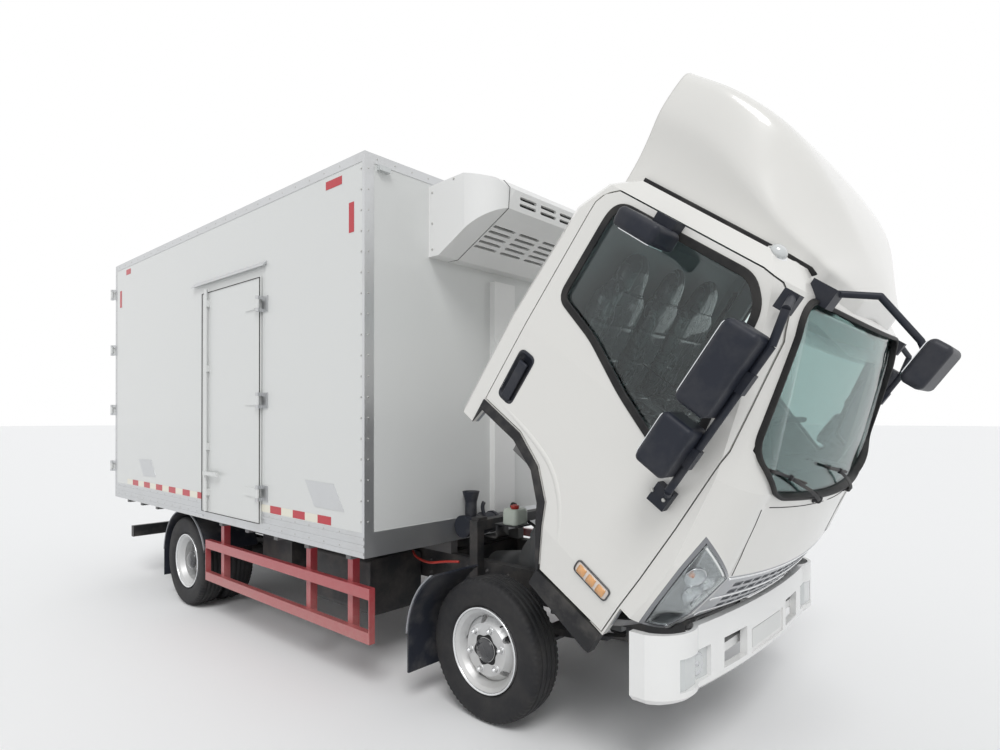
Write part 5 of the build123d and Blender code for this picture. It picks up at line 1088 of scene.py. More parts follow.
def deflector_grid(count=90, inset=0.0):
    """Fairing skin: cubic runs through the sections; across, a hollow flank, a bulged cheek and a bowed crown."""
    rows = DEFLECTOR_SECTIONS
    x = rows[:, 0]
    at = np.linspace(x[0], x[-1], count)
    slope = np.gradient(rows, x, axis=0)
    index = np.clip(np.searchsorted(x, at, side="right") - 1, 0, len(x) - 2)
    step = (x[index + 1] - x[index])[:, None]
    t = (at[:, None] - x[index][:, None]) / step
    smooth = (
        rows[index] * (2 * t ** 3 - 3 * t ** 2 + 1)
        + slope[index] * step * (t ** 3 - 2 * t ** 2 + t)
        + rows[index + 1] * (3 * t ** 2 - 2 * t ** 3)
        + slope[index + 1] * step * (t ** 3 - t ** 2)
    )
    _, base, crease_and_highlight, crease_z, shoulder, shoulder_z, crown_z = [c[:, None] for c in smooth.T]
    line = deflector_foot()
    foot = np.interp(at, line[:, 0], line[:, 2])[:, None] - 9
    base, crease_and_highlight, shoulder = base - inset, crease_and_highlight - inset, shoulder - inset * 0.7
    crease_z, shoulder_z, crown_z = crease_z - inset * 0.4, shoulder_z - inset, crown_z - inset
    t = np.linspace(0, 1, 13)[None, :]
    flank_y = base + (crease_and_highlight - base) * t - 16 * np.sin(np.pi * t) * (crease_z - foot) / 260
    flank_z = foot + (crease_z - foot) * t
    cheek_y = crease_and_highlight + (shoulder - crease_and_highlight) * t + 9 * np.sin(np.pi * t)
    cheek_z = crease_z + (shoulder_z - crease_z) * t
    crown_y = shoulder * (1 - t)
    crown_z = shoulder_z + (crown_z - shoulder_z) * np.sin(t * np.pi / 2)
    y = np.concatenate([flank_y[:, :-1], cheek_y[:, :-1], crown_y], 1)
    z = np.concatenate([flank_z[:, :-1], cheek_z[:, :-1], crown_z], 1)
    y = np.concatenate([y, -y[:, ::-1][:, 1:]], 1)
    z = np.concatenate([z, z[:, ::-1][:, 1:]], 1)
    for _ in range(3):
        y[:, 1:-1] = (y[:, :-2] + 2 * y[:, 1:-1] + y[:, 2:]) / 4
        z[:, 1:-1] = (z[:, :-2] + 2 * z[:, 1:-1] + z[:, 2:]) / 4
    grid = np.stack([np.broadcast_to(at[:, None], y.shape), y, z], -1)
    last = grid[-1]
    nose = []
    for share, ahead in ((0.985, 2.5), (0.95, 4.5), (0.88, 5.5), (0.5, 6), (0.02, 6)):
        spot = last * (1, share, 1)
        spot[:, 2] = 2128 + (last[:, 2] - 2128) * share
        spot[:, 0] += ahead - inset
        nose.append(spot)
    return np.concatenate([grid, np.array(nose)])


class TRUCK_OT_deflector(bpy.types.Operator):
    """Smooth wind deflector with hollow flanks, and its rubber seal on the roof"""

    bl_idname = "truck.deflector"
    bl_label = "Wind deflector"

    def execute(self, context):
        fairing = piece(
            "fairing", shell_of(deflector_grid(), deflector_grid(inset=12)), "shell_paint", "cab",
        )
        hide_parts("wind_deflector")
        line = deflector_foot()
        line = resampled(line[(line[:, 0] > 1600) & (line[:, 0] < 2470)], 36)
        seals = [swept(rounded_bar(11, 24, 4), line * (1, side, 1) + (0, 0, 5), (0, 0, 1)) for side in (-1, 1)]
        piece("deflector_seal", seals, "rubber_seal", "cab")
        return {"FINISHED"}


# Wipers on the front skin: pivot, and the two ends of the blade, as (y, z)
WIPERS = (((-205, 1409), (-805, 1540), (-395, 1486)), ((400, 1396), (-235, 1556), (180, 1508)))
WIPER_BOSS = [(0, 0), (0, 26), (8, 26), (10, 20), (26, 19), (32, 14), (34, 0)]
WIPER_CLIP = [(0, 0), (0, 14), (12, 13), (14, 0)]
MARKER_BASE = [(-14, 0), (-14, 46), (3, 44), (5, 40), (5, 0)]
MARKER_DOME = [(4, 0), (4, 37), (16, 34), (27, 26), (33, 14), (35, 0)]


class TRUCK_OT_front(bpy.types.Operator):
    """Cab front: tinted band, wipers, panel seams and roof markers"""

    bl_idname = "truck.front"
    bl_label = "Cab front"

    def execute(self, context):
        z = np.linspace(1985, 2106, 14)
        edge = 812 - (z - 1985) * 0.11
        band = shell_of(front_strip(z, -edge, edge, -19.5, 60), front_strip(z, -edge, edge, -21, 60))
        piece("shade_band", band, "teal_band", "cab")

        rubber, arms = [], []
        for pivot, low, high in WIPERS:
            ends = np.array([low, high], float)
            share = np.linspace(0, 1, 16)[:, None]
            run = ends[0] * (1 - share) + ends[1] * share
            rubber.append(swept(rounded_bar(7, 12, 2), on_front(run, 3), (1, 0, 0)))
            arms.append(swept(rounded_bar(12, 9, 3), on_front(run[1:-1], 12), (1, 0, 0)))
            middle = run[8]
            knee = np.array(pivot, float) * 0.45 + middle * 0.55 + (0, 12)
            bar = routed([pivot, knee, middle], 60, 24, 6)
            lift = np.interp(np.linspace(0, 1, len(bar)), [0, 0.15, 0.8, 1], [20, 34, 30, 15])
            path = np.concatenate([on_front(bar[i : i + 1], lift[i]) for i in range(len(bar))])
            arms.append(swept(rounded_bar(15, 8, 3), path, (1, 0, 0)))
            normal = skin_normals(on_front, [pivot])
            arms += studs(on_front([pivot], -3), normal, WIPER_BOSS, 24)
            arms += studs(on_front([middle], 10), normal, WIPER_CLIP, 12)
        piece("wiper_rubber", rubber, "rubber_seal", "cab")
        piece("wiper_arms", arms, "trim_black", "cab")

        seams = []
        for side in (-1, 1):
            line = [(side * 716, 1372), (side * 700, 1300), (side * 684, 1150), (side * 684, 1062)]
            seams.append(swept(ring(2.0, 6), on_front(resampled(line, 16), 0.2), (1, 0, 0)))
        for run in ([(-640, 1376), (0, 1376)], [(0, 1376), (640, 1376)]):
            seams.append(swept(ring(2.0, 6), on_front(resampled(run, 30), 0.2), (0, 0, 1)))
        piece("panel_seams", seams, "joint_and_shade_black", "cab")

        bases, lenses = [], []
        for side in (-1, 1):
            spot = np.array([[2318, side * 838, 2217]])
            up = np.array([0.25, side * 0.35, 1.0])
            bases += studs(spot, up, MARKER_BASE, 32)
            lenses += studs(spot, up, MARKER_DOME, 32)
        piece("roof_marker_bases", bases, "chrome", "cab")
        piece("roof_marker_lenses", lenses, "marker_lens", "cab")
        return {"FINISHED"}


# Headlamp: heights of its rows, rear edge, bowls as (half width, height, size), and profiles
LAMP_Z = np.linspace(768, 1228, 40)
LAMP_REAR = 2773
LINER_DEPTH = 24
BOWLS = ((905, 1048, 1.0), (868, 968, 1.0), (800, 938, 0.95), (832, 1030, 0.8))
BOWL = [(-20, 0), (-19, 20), (-9, 40), (0, 47), (0, 44), (-8, 37), (-15, 20), (-17, 0)]
TURN_BULB = [(0, 0), (0, 13), (9, 13), (15, 8), (17, 0)]
WHITE_BULB = [(0, 0), (0, 12), (8, 12), (13, 7), (15, 0)]
FOG_BOWL = [(-4, 0), (-4, 48), (3, 50), (5, 45), (4, 42), (-1, 30), (-2.5, 12), (6, 10), (8, 0)]
TAIL_LAMPS = (("red", "red_lens", 790, 974), ("amber", "amber_lens", 716, 786), ("white", "marker_lens", 646, 712))


def lamp_edge(z, gap=0.0):
    """Inner edge of the headlamp at height z, as a half width, moved outwards by gap."""
    return np.interp(z, [747, 860, 1055, 1267], [840, 790, 700, 1000]) + gap


def corner_shell(z, rear_x, gap, side, outer, inner):
    """Closed skin in the headlamp between two depths behind the cab's skin."""
    edge = lamp_edge(z, gap)
    return shell_of(*[corner_strip(z, rear_x, edge, side, depth) for depth in (outer, inner)])


def front_shell(low, high, rows, half, outer, inner, columns):
    """Closed skin across the front between two heights and two distances from the skin."""
    z = np.linspace(low, high, rows)
    return shell_of(*[front_strip(z, [-half] * rows, [half] * rows, proud, columns) for proud in (outer, inner)])


def edge_bar(low, high, count, gap, side, profile):
    """Bar inside the headlamp that follows its inner edge, 9 mm behind the skin."""
    z = np.linspace(low, high, count)
    return swept(profile, on_front(np.stack([side * lamp_edge(z, gap), z], -1), -9), (1, 0, 0))


class TRUCK_OT_lamps(bpy.types.Operator):
    """Headlamp bowls, light strips and lenses, grille bars, side, fog and tail lamps"""

    bl_idname = "truck.lamps"
    bl_label = "Lamps"

    def execute(self, context):
        for name, side in SIDES.items():
            lens = corner_shell(LAMP_Z, LAMP_REAR, 17, side, 1.5, 5)
            piece(f"headlamp_lens_{name}", lens, "clear_lens", "cab")
            liner = corner_shell(LAMP_Z, LAMP_REAR, 17, side, LINER_DEPTH, LINER_DEPTH + 3)
            piece(f"headlamp_liner_{name}", liner, "lamp_housing", "cab")
            smoked = corner_shell(np.linspace(770, 862, 12), LAMP_REAR + 2, 20, side, 7, 10)
            piece(f"headlamp_foot_{name}", smoked, "slot_gloss", "cab")
            bowls = []
            for y, z, size in BOWLS:
                bowls += front_studs([(y, z)], side, -5.5, [(a, b * size) for a, b in BOWL], 40)
            turn = front_studs([BOWLS[0][:2]], side, -23, TURN_BULB, 20)
            white = front_studs([bowl[:2] for bowl in BOWLS[1:]], side, -23, WHITE_BULB, 20)
            piece(f"headlamp_bowls_{name}", bowls, "lamp_bowl", "cab")
            piece(f"turn_bulb_{name}", turn, "amber_lens", "cab")
            piece(f"headlamp_bulbs_{name}", white, "lamp_white", "cab")
            glow = [
                edge_bar(1072, 1178, 24, 42, side, rounded_bar(10, 16, 4)),
                edge_bar(880, 1050, 20, 30, side, rounded_bar(7, 9, 3)),
            ]
            piece(f"light_strip_{name}", glow, "lamp_white", "cab")

            rim = resampled(softened(rectangle((2408, 714), (2602, 772)), 18), 10, True)
            bezel = swept(rounded_bar(7, 12, 3), on_side(rim, side, 2), (0, 1, 0), True)
            piece(f"side_lamp_rim_{name}", [bezel], "lamp_housing", f"cab_door_{name}")
            share = np.array([0.02, 0.6, 0.9, 1.0])[:, None, None]
            middle = rim.mean(0)
            dome = (middle + (rim - middle) * share).reshape(-1, 2)
            proud = np.repeat([8.0, 8.0, 6.0, 1.0], len(rim))
            grid = on_side(dome, side) + proud[:, None] * (0, side, 0)
            grid = closed_loop(grid.reshape(4, len(rim), 3))
            piece(f"side_lamp_{name}", [grid], "side_lamp_lens", f"cab_door_{name}")
            cells = []
            for x in (2447, 2505, 2563):
                shape = softened(rectangle((x - 22, 723), (x + 22, 763)), 7)
                cells.append(plate(flat(shape, 1, side * 998.2), 1.6, (0, side, 0)))
            piece(f"side_lamp_cells_{name}", cells, "side_lamp_cell", f"cab_door_{name}")

            fog = []
            for x, y in ((2944.5, 700), (2940, 800)):
                fog += studs([(x, side * y, 557)], (1, side * 0.05, 0), FOG_BOWL, 40)
            piece(f"fog_bowls_{name}", fog, "lamp_bowl", "chassis")
            for tint, finish, low_y, high_y in TAIL_LAMPS:
                shape = softened(rectangle((low_y, 416), (high_y, 494)), 10) * (side, 1)
                lens = [plate(flat(shape, 0, -2910.5), 7, (-1, 0, 0))]
                piece(f"tail_lamp_{tint}_{name}", lens, finish, "chassis")

        # Painted shade: a near-black sheet 34 mm behind the skin, under the grille mesh, stands in for the shaded
        # space behind the grille.
        shade_sheet = front_shell(792, 1040, 12, 640, -34, -37, 60)
        piece("grille_shade_sheet", shade_sheet, "joint_and_shade_black", "cab")
        bars = []
        z = np.linspace(802, 1014, 9)
        for y in np.arange(-640, 641, 11.6):
            bars.append(swept(ring(1.5, 4), on_front(np.stack([np.full(9, y), z], -1), -10), (0, 1, 0)))
        y = np.linspace(-640, 640, 60)
        for height in np.arange(806, 1012, 11.5):
            bars.append(swept(ring(1.3, 4), on_front(np.stack([y, np.full(60, height)], -1), -11), (0, 0, 1)))
        piece("grille_mesh", bars, "silver_mesh", "cab")
        strips = []
        for height, half in ((1044, 690), (930, 720), (842, 748)):
            y = np.linspace(-half, half, 70)
            line = np.stack([y, np.full(70, float(height))], -1)
            strips.append(swept(rounded_bar(5, 11, 2), on_front(line, 2), (0, 0, 1)))
        piece("grille_strips", strips, "chrome", "cab")
        foot = front_shell(737, 778, 5, 800, 2.5, -3, 80)
        piece("lower_strip", foot, "trim_black", "cab")
        return {"FINISHED"}


# Doors: the handle's outline as (x, z), its rows as (share of the outline, outward), and the body line
HANDLE = rectangle((1590, 1083), (1690, 1337))
HANDLE_ROWS = [(1.05, -4), (1.05, 2.5), (0.97, 2.5), (0.93, -2), (0.9, -14), (0.02, -15.5), (0, -16.8), (1, -16.8)]
BODY_LINE = [(1548, 1064), (1885, 1040), (2070, 998), (2216, 868), (2330, 640)]
BODY_RIDGE = [(-5.0, -17), (-1, -16), (3.0, -6), (3.6, 0), (3.0, 6), (-1, 16), (-5, 17)]
MIRROR_BOLT = [(-2, 0), (-2, 9), (4, 8), (6, 5), (6, 0)]


def pane(low, high, level, axis, scale, normal):
    """Mirror glass: a rectangle with soft corners between two corners, set at one level of an axis."""
    return plate(flat(softened(rectangle(low, high), 22) * scale, axis, level), 3, normal)


class TRUCK_OT_cab_sides(bpy.types.Operator):
    """Door handles, raised body lines, mirror glass and its bolts"""

    bl_idname = "truck.cab_sides"
    bl_label = "Cab sides"

    def execute(self, context):
        for name, side in SIDES.items():
            door = f"cab_door_{name}"
            recess = softened(HANDLE, 34, 8)
            middle = recess.mean(0)
            rows = [
                flat(middle + (recess - middle) * share, 1, side * (DOOR_FACE + out))
                for share, out in HANDLE_ROWS
            ]
            piece(f"handle_recess_{name}", [closed_loop(np.array(rows))], "dark_moulding", door)
            z = np.linspace(1085, 1292, 12)
            path = np.stack([np.full(12, 1640.0), np.full(12, side * (DOOR_FACE - 2.5)), z], -1)
            grip = [swept(rounded_bar(17, 54, 7), path, (1, 0, 0))]
            piece(f"handle_grip_{name}", grip, "mirror_shell", door)

            path = on_side(routed(BODY_LINE, 110, 20, 12), side)
            fade = np.sin(np.linspace(0, np.pi, len(path)))[:, None, None] ** 0.5
            profile = np.array(BODY_RIDGE)
            _, across, _ = frames_along(path, (0, 1, 0))
            lift = profile[None, :, :1] * fade - (1 - fade) * 3
            grid = path[:, None] + lift * (0, side, 0) + across[:, None] * profile[None, :, 1:] * (0.4 + 0.6 * fade)
            piece(f"body_line_{name}", [capped(closed_loop(grid))], "shell_paint", door)

            panes = [
                pane((1092, 1662), (1198, 1960), 2439, 0, (side, 1), (-1, 0, 0)),
                pane((1092, 1393), (1198, 1579), 2439, 0, (side, 1), (-1, 0, 0)),
                pane((1824, 984), (1986, 1126), 2031, 2, (1, side), (0, 0, -1)),
            ]
            piece(f"mirror_panes_{name}", panes, "mirror_glass", door, smooth=False)
            pins = studs([(2510, side * 1031, 1258), (2570, side * 1031, 1258)], (0, side, 0), MIRROR_BOLT, 12)
            piece(f"mirror_bolts_{name}", pins, "bolt_zinc", door)
        front = pane((-708, 2064), (-492, 2202), 2883, 0, (1, 1), (-1, 0, 0))
        piece("front_mirror_pane", [front], "mirror_glass", "cab", smooth=False)
        return {"FINISHED"}


def puffed(grid, voxel=0.006, pressure=4.0, cap=0.011):
    """Closed grid in millimetres, remeshed, blown up as cloth for 20 frames, each point kept within cap of its start.

    Returns points in millimetres and quads.
    """
    scene = bpy.context.scene
    pad = skin_mesh("pad_work", [grid], lambda p: p / 1000)
    remesh = pad.modifiers.new("remesh", "REMESH")
    remesh.mode = "VOXEL"
    remesh.voxel_size = voxel
    mesh = bpy.data.meshes.new_from_object(pad.evaluated_get(bpy.context.evaluated_depsgraph_get()))
    pad.modifiers.clear()
    pad.data = mesh
    start = vertex_points(mesh)
    end = start
    cloth = pad.modifiers.new("cloth", "CLOTH")
    cloth.settings.use_pressure = True
    cloth.settings.uniform_pressure_force = pressure
    cloth.settings.effector_weights.gravity = 0
    cloth.settings.quality = 4
    cloth.point_cache.frame_start = 1
    cloth.point_cache.frame_end = 20
    for step in range(1, 21):
        scene.frame_set(step)
    grown = bpy.data.meshes.new_from_object(pad.evaluated_get(bpy.context.evaluated_depsgraph_get()))
    end = vertex_points(grown)
    pad.modifiers.clear()
    scene.frame_set(1)
    move = end - start
    far = np.linalg.norm(move, axis=1, keepdims=True)
    points = start + move * np.minimum(1, cap / np.maximum(far, 1e-9))
    quads = [tuple(p.vertices) for p in mesh.polygons]
    bpy.data.objects.remove(pad)
    return points * 1000, quads


def vertex_points(mesh):
    """Vertices of a mesh as an array (count, 3)."""
    points = np.empty(len(mesh.vertices) * 3)
    mesh.vertices.foreach_get("co", points)
    return points.reshape(-1, 3)


def pad_grid(count, half_side, half_thick, around=40, power=3.2):
    """Closed pad: at each station a superellipse |a/w|^n + |b/h|^n = 1 across the run, drawn in at both ends."""
    t = np.linspace(0, 2 * np.pi, around, endpoint=False)
    ca, sa = np.cos(t), np.sin(t)
    a = np.sign(ca) * np.abs(ca) ** (2 / power)
    b = np.sign(sa) * np.abs(sa) ** (2 / power)
    share = np.linspace(0, 1, count)
    draw = np.maximum(1 - np.abs(2 * share - 1) ** 5, 0.02) ** 0.35
    return (half_side * draw)[:, None] * a, (half_thick * draw)[:, None] * b


class TRUCK_OT_seats(bpy.types.Operator):
    """Three padded seats: cushions and tall backs with sewn channels, under clear film"""

    bl_idname = "truck.seats"
    bl_label = "Seats"

    def execute(self, context):
        share = np.linspace(0, 1, 34)
        x = 1652 + 462 * share
        y, thick = pad_grid(34, 226.0, 78.0)
        mid = 1130 + 14 * share
        cushion = np.stack([np.broadcast_to(x[:, None], y.shape), y, mid[:, None] + thick], -1)
        z = 1120 + 815 * share
        wide = np.interp(z, [1120, 1300, 1690, 1770, 1940], [214, 226, 222, 140, 128])
        y, thick = pad_grid(34, wide, np.interp(z, [1120, 1500, 1940], [58, 54, 42]))
        lean = np.interp(z, [1120, 1940], [1632, 1562])
        back = np.stack([lean[:, None] + thick, y, np.broadcast_to(z[:, None], y.shape)], -1)
        pads = {}
        for name, grid in (("cushion", cushion), ("back", back)):
            points, quads = puffed(capped(closed_loop(grid)))
            run = points[:, 0] if name == "cushion" else points[:, 2]
            seams = [np.abs(np.abs(points[:, 1]) - 148)]
            seams += [np.abs(run - at) for at in ((1800, 1960) if name == "cushion" else (1380, 1560, 1735))]
            sink = np.minimum(sum(np.exp(-((gap / 5.0) ** 2)) for gap in seams), 1) * 7
            axis = 2 if name == "cushion" else 0
            points[:, axis] -= np.sign(points[:, axis] - points[:, axis].mean()) * sink
            pads[name] = (points, quads)
        for row, (centre, width) in enumerate(((430, 1.0), (-430, 1.0), (0, 0.665))):
            for name, (points, quads) in pads.items():
                placed = points * (1, width, 1) + (0, centre, 0)
                mesh = bpy.data.meshes.new(f"seat_{name}_{row}")
                mesh.from_pydata(tilted(placed).tolist(), [], quads)
                seat = bpy.data.objects.new(f"seat_{name}_{row}", mesh)
                context.scene.collection.objects.link(seat)
                weld_and_face_out(seat, 1e-6)
                seat.data.polygons.foreach_set("use_smooth", np.ones(len(seat.data.polygons), bool))
                dress(seat, "wrapped_cloth", "cab")
                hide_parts("seats")
        return {"FINISHED"}


# Box: profiles as (outward, radius), heights of the posts' rivets, and the cooler's side outline as (x, z)
RIVET = [(-1, 0), (-1, 5.5), (0.6, 5.3), (2.0, 3.4), (2.4, 0)]
SCREW = [(-1, 0), (-1, 8), (2, 7.5), (4, 4), (4, 0)]
POST_RIVETS = np.arange(1010, 3040, 118)
COOLER_SIDE = [
    (1180, 2597), (1266, 2595), (1640, 2799), (1691, 2829), (1701, 2950), (1656, 3001), (1480, 3046), (1180, 3036),
]
COOLER_SCREWS = ((1210, 2640), (1210, 2800), (1210, 2990), (1400, 3030))
FRONT_TRIM_X = 1179
GASKET = rounded_bar(4, 9, 1.5)


def slot(middle, along, half, out):
    """Thin plate 22 mm wide along a direction, reaching half its length each way across the truck; set inside the
    cooler's slots as painted shade.
    """
    corners = ((-11, -half), (-11, half), (11, half), (11, -half))
    return plate([middle + along * a + np.array([0, b, 0]) for a, b in corners], 3, out)


class TRUCK_OT_box_trim(bpy.types.Operator):
    """Rivets, gaskets, near-black plates painted as the shade inside the cooler slots, and seams on the insulated box
    """

    bl_idname = "truck.box_trim"
    bl_label = "Box trim"

    def execute(self, context):
        grids = []
        for side in (-1, 1):
            y = side * (BOX_SIDE + 3)
            places = [(1146, y, z) for z in POST_RIVETS] + [(-2957, side * BOX_SIDE, z) for z in POST_RIVETS]
            for x in np.arange(-2860, 1090, 165):
                beside_door = side < 0 and -935 < x < 20
                places += [(x, y, z) for z in ((3082,) if beside_door else (3082, 852, 931))]
            grids += studs(places, (0, side, 0), RIVET, 10)
            grids += studs([(FRONT_TRIM_X, side * 1100, z) for z in POST_RIVETS], (1, 0, 0), RIVET, 10)
        grids += studs([(FRONT_TRIM_X, y, 3083) for y in np.arange(-1040, 1041, 130)], (1, 0, 0), RIVET, 10)
        piece("box_rivets", grids, "bolt_zinc", "chassis")

        line = resampled(rectangle((-917, 870), (2, 2564)), 60, True)
        gasket = swept(GASKET, flat(line, 1, -1141.0), (0, 1, 0), True)
        piece("side_door_gasket", [gasket], "rubber_seal", "side_door")
        for name, side in SIDES.items():
            line = resampled(rectangle((6, 934), (1052, 3004)), 60, True) * (side, 1)
            gasket = swept(GASKET, flat(line, 0, -2998.0), (1, 0, 0), True)
            piece(f"rear_gasket_{name}", [gasket], "rubber_seal", f"rear_door_{name}")

        # Slots: near-black plates set inside the cooler's slots, painted shade for their depth; centre of the slope at
        # 0.56 of its run, rows along the run, columns across
        low, high = np.array([1266.0, 0, 2596]), np.array([1640.0, 0, 2800])
        run = (high - low) / np.linalg.norm(high - low)
        out = np.array([run[2], 0, -run[0]])
        centre = low + (high - low) * 0.56
        up, columns = np.array([0, 0, 1]), (-1.5, -0.5, 0.5, 1.5)
        panes = [
            slot(centre + run * row * 46 + (0, column * 240, 0) - out * 24, run, 102, out)
            for row in range(-2, 3) for column in columns
        ]
        panes += [
            slot(np.array([1674, column * 200, 2892 + row * 38]), up, 82, (1, 0, 0))
            for row in (-0.5, 0.5) for column in columns
        ]
        piece("cooler_slot_shade", panes, "joint_and_shade_black", "chassis", smooth=False)
        seams = [swept(ring(1.8, 6), resampled(flat(COOLER_SIDE, 1, y), 40), (0, 1, 0)) for y in (-478, 478)]
        piece("cooler_seams", seams, "joint_and_shade_black", "chassis")
        screws = []
        for side in (-1, 1):
            screws += studs(flat(COOLER_SCREWS, 1, side * 643.5), (0, side, 0), SCREW, 12)
        piece("cooler_screws", screws, "bolt_zinc", "chassis")
        return {"FINISHED"}


# Chassis: profiles as (outward, radius), and the routes of the pipes and latches
BOLT = [(-1, 0), (-1, 13), (1, 13), (1, 9.5), (9, 9.5), (10, 7), (10, 0)]
FILLER_CAP = [(-8, 0), (-8, 24), (6, 24), (6, 27), (20, 27), (22, 24), (22, 0)]
VENT_CAP = [(-8, 0), (-8, 14), (16, 14), (18, 11), (18, 0)]
BOTTLE_SHELF = (
    ((1480, 1664), (-372, -234), (936, 944)),
    ((1480, 1488), (-360, -246), (850, 940)),
    ((1390, 1488), (-360, -246), (848, 856)),
)
COOLANT_ROUTES = (
    ([(1566, -268, 1058), (1532, -262, 1064), (1512, -254, 1020), (1508, -248, 946)], 20),
    ([(1640, -240, 960), (1700, -180, 900), (1760, -160, 860)], 40),
)
BRAKE_ROUTE = [(1300, -500, 700), (1200, -520, 690), (1080, -560, 668), (960, -560, 690), (860, -500, 705)]
LATCH_HORN = [(1346, 950), (1324, 990), (1316, 1030), (1330, 1056)]


def guard_edge(axle, radius, first, last, count, y, profile):
    """Bar along a mudguard's edge: an arc about the axle from first to last degrees."""
    a = np.radians(np.linspace(first, last, count))
    arc = np.stack([axle[0] + radius * np.cos(a), axle[1] + radius * np.sin(a)], -1)
    return swept(profile, flat(arc, 1, y), (0, 1, 0))


class TRUCK_OT_chassis_trim(bpy.types.Operator):
    """Rail bolts, mudguard edges and screws, coolant bottle, pipes, cab latches and the blank front plate"""

    bl_idname = "truck.chassis_trim"
    bl_label = "Chassis trim"

    def execute(self, context):
        heads, edges, screws, latches = [], [], [], []
        for side in (-1, 1):
            out = (0, side, 0)
            heads += studs([(x, side * 436, z) for x in range(-2600, 2500, 170) for z in (575, 660)], out, BOLT, 12)
            edges.append(guard_edge(FRONT_AXLE, 453, 124, 177, 26, side * 985.0, rounded_bar(9, 20, 3)))
            edges.append(guard_edge(REAR_AXLE, 429, 20, 174, 50, side * 1059.0, rounded_bar(7, 16, 3)))
            screws += studs([(1382, side * y, 380) for y in (680, 760, 860, 945)], (-1, 0, 0), BOLT, 12)
            screws += studs([(-1894, side * y, 395) for y in (650, 780, 900, 1030)], (-1, 0, 0), BOLT, 12)
            horn = routed(flat(LATCH_HORN, 1, side * 306), 26, 6)
            latches.append(swept(rounded_bar(26, 16, 6), horn, (0, 1, 0)))
        piece("rail_bolts", heads, "frame_paint", "chassis")
        piece("mudguard_edges", edges, "edge_grey", "chassis")
        piece("mudguard_screws", screws, "bolt_zinc", "chassis")

        shelf = [slab(x, y, z, 3) for x, y, z in BOTTLE_SHELF]
        piece("bottle_shelf", shelf, "frame_paint", "chassis")
        z = np.array([944.5, 952, 1020, 1036, 1043])
        size = np.array([0.96, 1.0, 1.0, 0.94, 0.8])[:, None]
        outline = rounded_bar(126, 116, 26, 6)
        x, y = 1592 + outline[:, 1] * size, -303 + outline[:, 0] * size
        bottle = closed_loop(np.stack([x, y, np.broadcast_to(z[:, None], x.shape)], -1))
        piece("coolant_bottle", [capped(bottle)], "coolant_bottle", "chassis")
        caps = studs([(1612, -330, 1043)], (0, 0, 1), FILLER_CAP, 24)
        caps += studs([(1560, -268, 1043)], (0, 0, 1), VENT_CAP, 18)
        piece("bottle_caps", caps, "red_hose", "chassis")

        pipes = [swept(ring(9, 14), routed(route, bend, 8), (0.1, 0.2, 1)) for route, bend in COOLANT_ROUTES]
        piece("coolant_pipes", pipes, "rubber_seal", "chassis")
        brake = [swept(ring(8, 14), routed(BRAKE_ROUTE, 80, 12, 10), (0, 0.1, 1))]
        piece("brake_pipe", brake, "red_hose", "chassis")
        piece("cab_latches", latches, "dark_moulding", "chassis")
        blank = flat(softened(rectangle((-200, 500), (200, 588)), 10), 0, 2996.2)
        piece("front_plate", [plate(blank, 2, (1, 0, 0))], "panel_skin", "chassis", smooth=False)
        return {"FINISHED"}


# Grab handles on the left, mirrored for the right: points and profile
GRAB_HANDLES = (
    ([(1520, 900, 1560), (1545, 860, 1580), (1545, 860, 1880), (1520, 900, 1900)], rounded_bar(30, 22, 9)),
    ([(2620, 870, 1500), (2560, 840, 1520), (2490, 835, 1800), (2490, 862, 1850)], ring(13, 16)),
)
GEAR_LEVER = [(2430, 60, 1290), (2360, 60, 1380), (2340, 60, 1480)]
GEAR_KNOB = [(0, 0), (0, 12), (14, 24), (34, 26), (50, 16), (56, 0)]


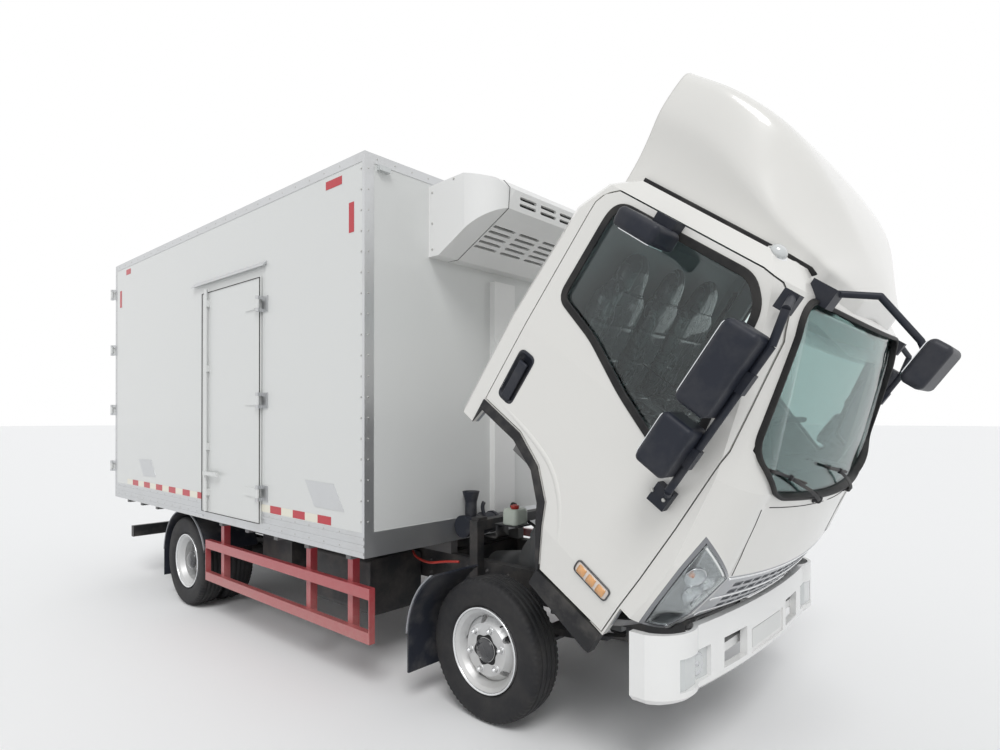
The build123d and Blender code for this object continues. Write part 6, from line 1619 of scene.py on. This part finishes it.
class TRUCK_OT_interior(bpy.types.Operator):
    """Sun visors, grab handles, gear lever and dash vents"""

    bl_idname = "truck.interior"
    bl_label = "Interior"

    def execute(self, context):
        visors, handles = [], []
        for side in (-1, 1):
            shape = softened([(2300, side * 180), (2300, side * 700), (2440, side * 680), (2440, side * 180)], 40)
            face = np.stack([*shape.T, 2150 - (shape[:, 0] - 2300) * 0.34], -1)
            visors.append(plate(face, 16, (0.3, 0, 1)))
            for points, profile in GRAB_HANDLES:
                line = routed(np.array(points) * (1, side, 1), 30, 10)
                handles.append(swept(profile, line, (0, 1, 0)))
        piece("sun_visors", visors, "dash_grain", "cab")
        piece("grab_handles", handles, "trim_black", "cab")
        lever = [swept(ring(9, 12), routed(GEAR_LEVER, 40, 10), (0, 1, 0))]
        lever += studs([(2340, 60, 1478)], (0, 0, 1), GEAR_KNOB, 20)
        piece("gear_lever", lever, "trim_black", "cab")
        slats = []
        for y in (-700, -250, 100, 700):
            for row in range(5):
                x = 2560 + row * 24
                z = 1302 + (x - 2480) * (100 / 220)
                slats.append(slab((x, x + 10), (y - 60, y + 60), (z - 1, z + 10), 2))
        piece("dash_vents", slats, "trim_black", "cab")
        return {"FINISHED"}


OPERATORS = [
    TRUCK_OT_finishes, TRUCK_OT_stage, TRUCK_OT_tyres, TRUCK_OT_wheels, TRUCK_OT_seals, TRUCK_OT_front,
    TRUCK_OT_deflector, TRUCK_OT_lamps, TRUCK_OT_cab_sides, TRUCK_OT_seats, TRUCK_OT_interior, TRUCK_OT_tapes,
    TRUCK_OT_box_trim, TRUCK_OT_chassis_trim,
]
GROUPS = [TruckColours, TyreSizes, StageLight]


class TRUCK_PT_panel(bpy.types.Panel):
    """Lists the truck's pieces and sizes"""

    bl_idname = "TRUCK_PT_panel"
    bl_label = "Truck"
    bl_space_type = "VIEW_3D"
    bl_region_type = "UI"
    bl_category = "Truck"

    def draw(self, context):
        for settings in (context.scene.truck_colours, context.scene.truck_tyres, context.scene.truck_light):
            for key in settings.bl_rna.properties.keys():
                if key not in ("rna_type", "name"):
                    self.layout.prop(settings, key)
        for operator in OPERATORS:
            self.layout.operator(operator.bl_idname)


def register():
    for made in (*GROUPS, *OPERATORS, TRUCK_PT_panel):
        bpy.utils.register_class(made)
    bpy.types.Scene.truck_colours = bpy.props.PointerProperty(type=TruckColours)
    bpy.types.Scene.truck_tyres = bpy.props.PointerProperty(type=TyreSizes)
    bpy.types.Scene.truck_light = bpy.props.PointerProperty(type=StageLight)


def unregister():
    del bpy.types.Scene.truck_light
    del bpy.types.Scene.truck_tyres
    del bpy.types.Scene.truck_colours
    for made in reversed((*GROUPS, *OPERATORS, TRUCK_PT_panel)):
        bpy.utils.unregister_class(made)


def main():
    register()
    for operator in OPERATORS:
        group, call = operator.bl_idname.split(".")
        getattr(getattr(bpy.ops, group), call)()


if __name__ == "__main__":
    main()
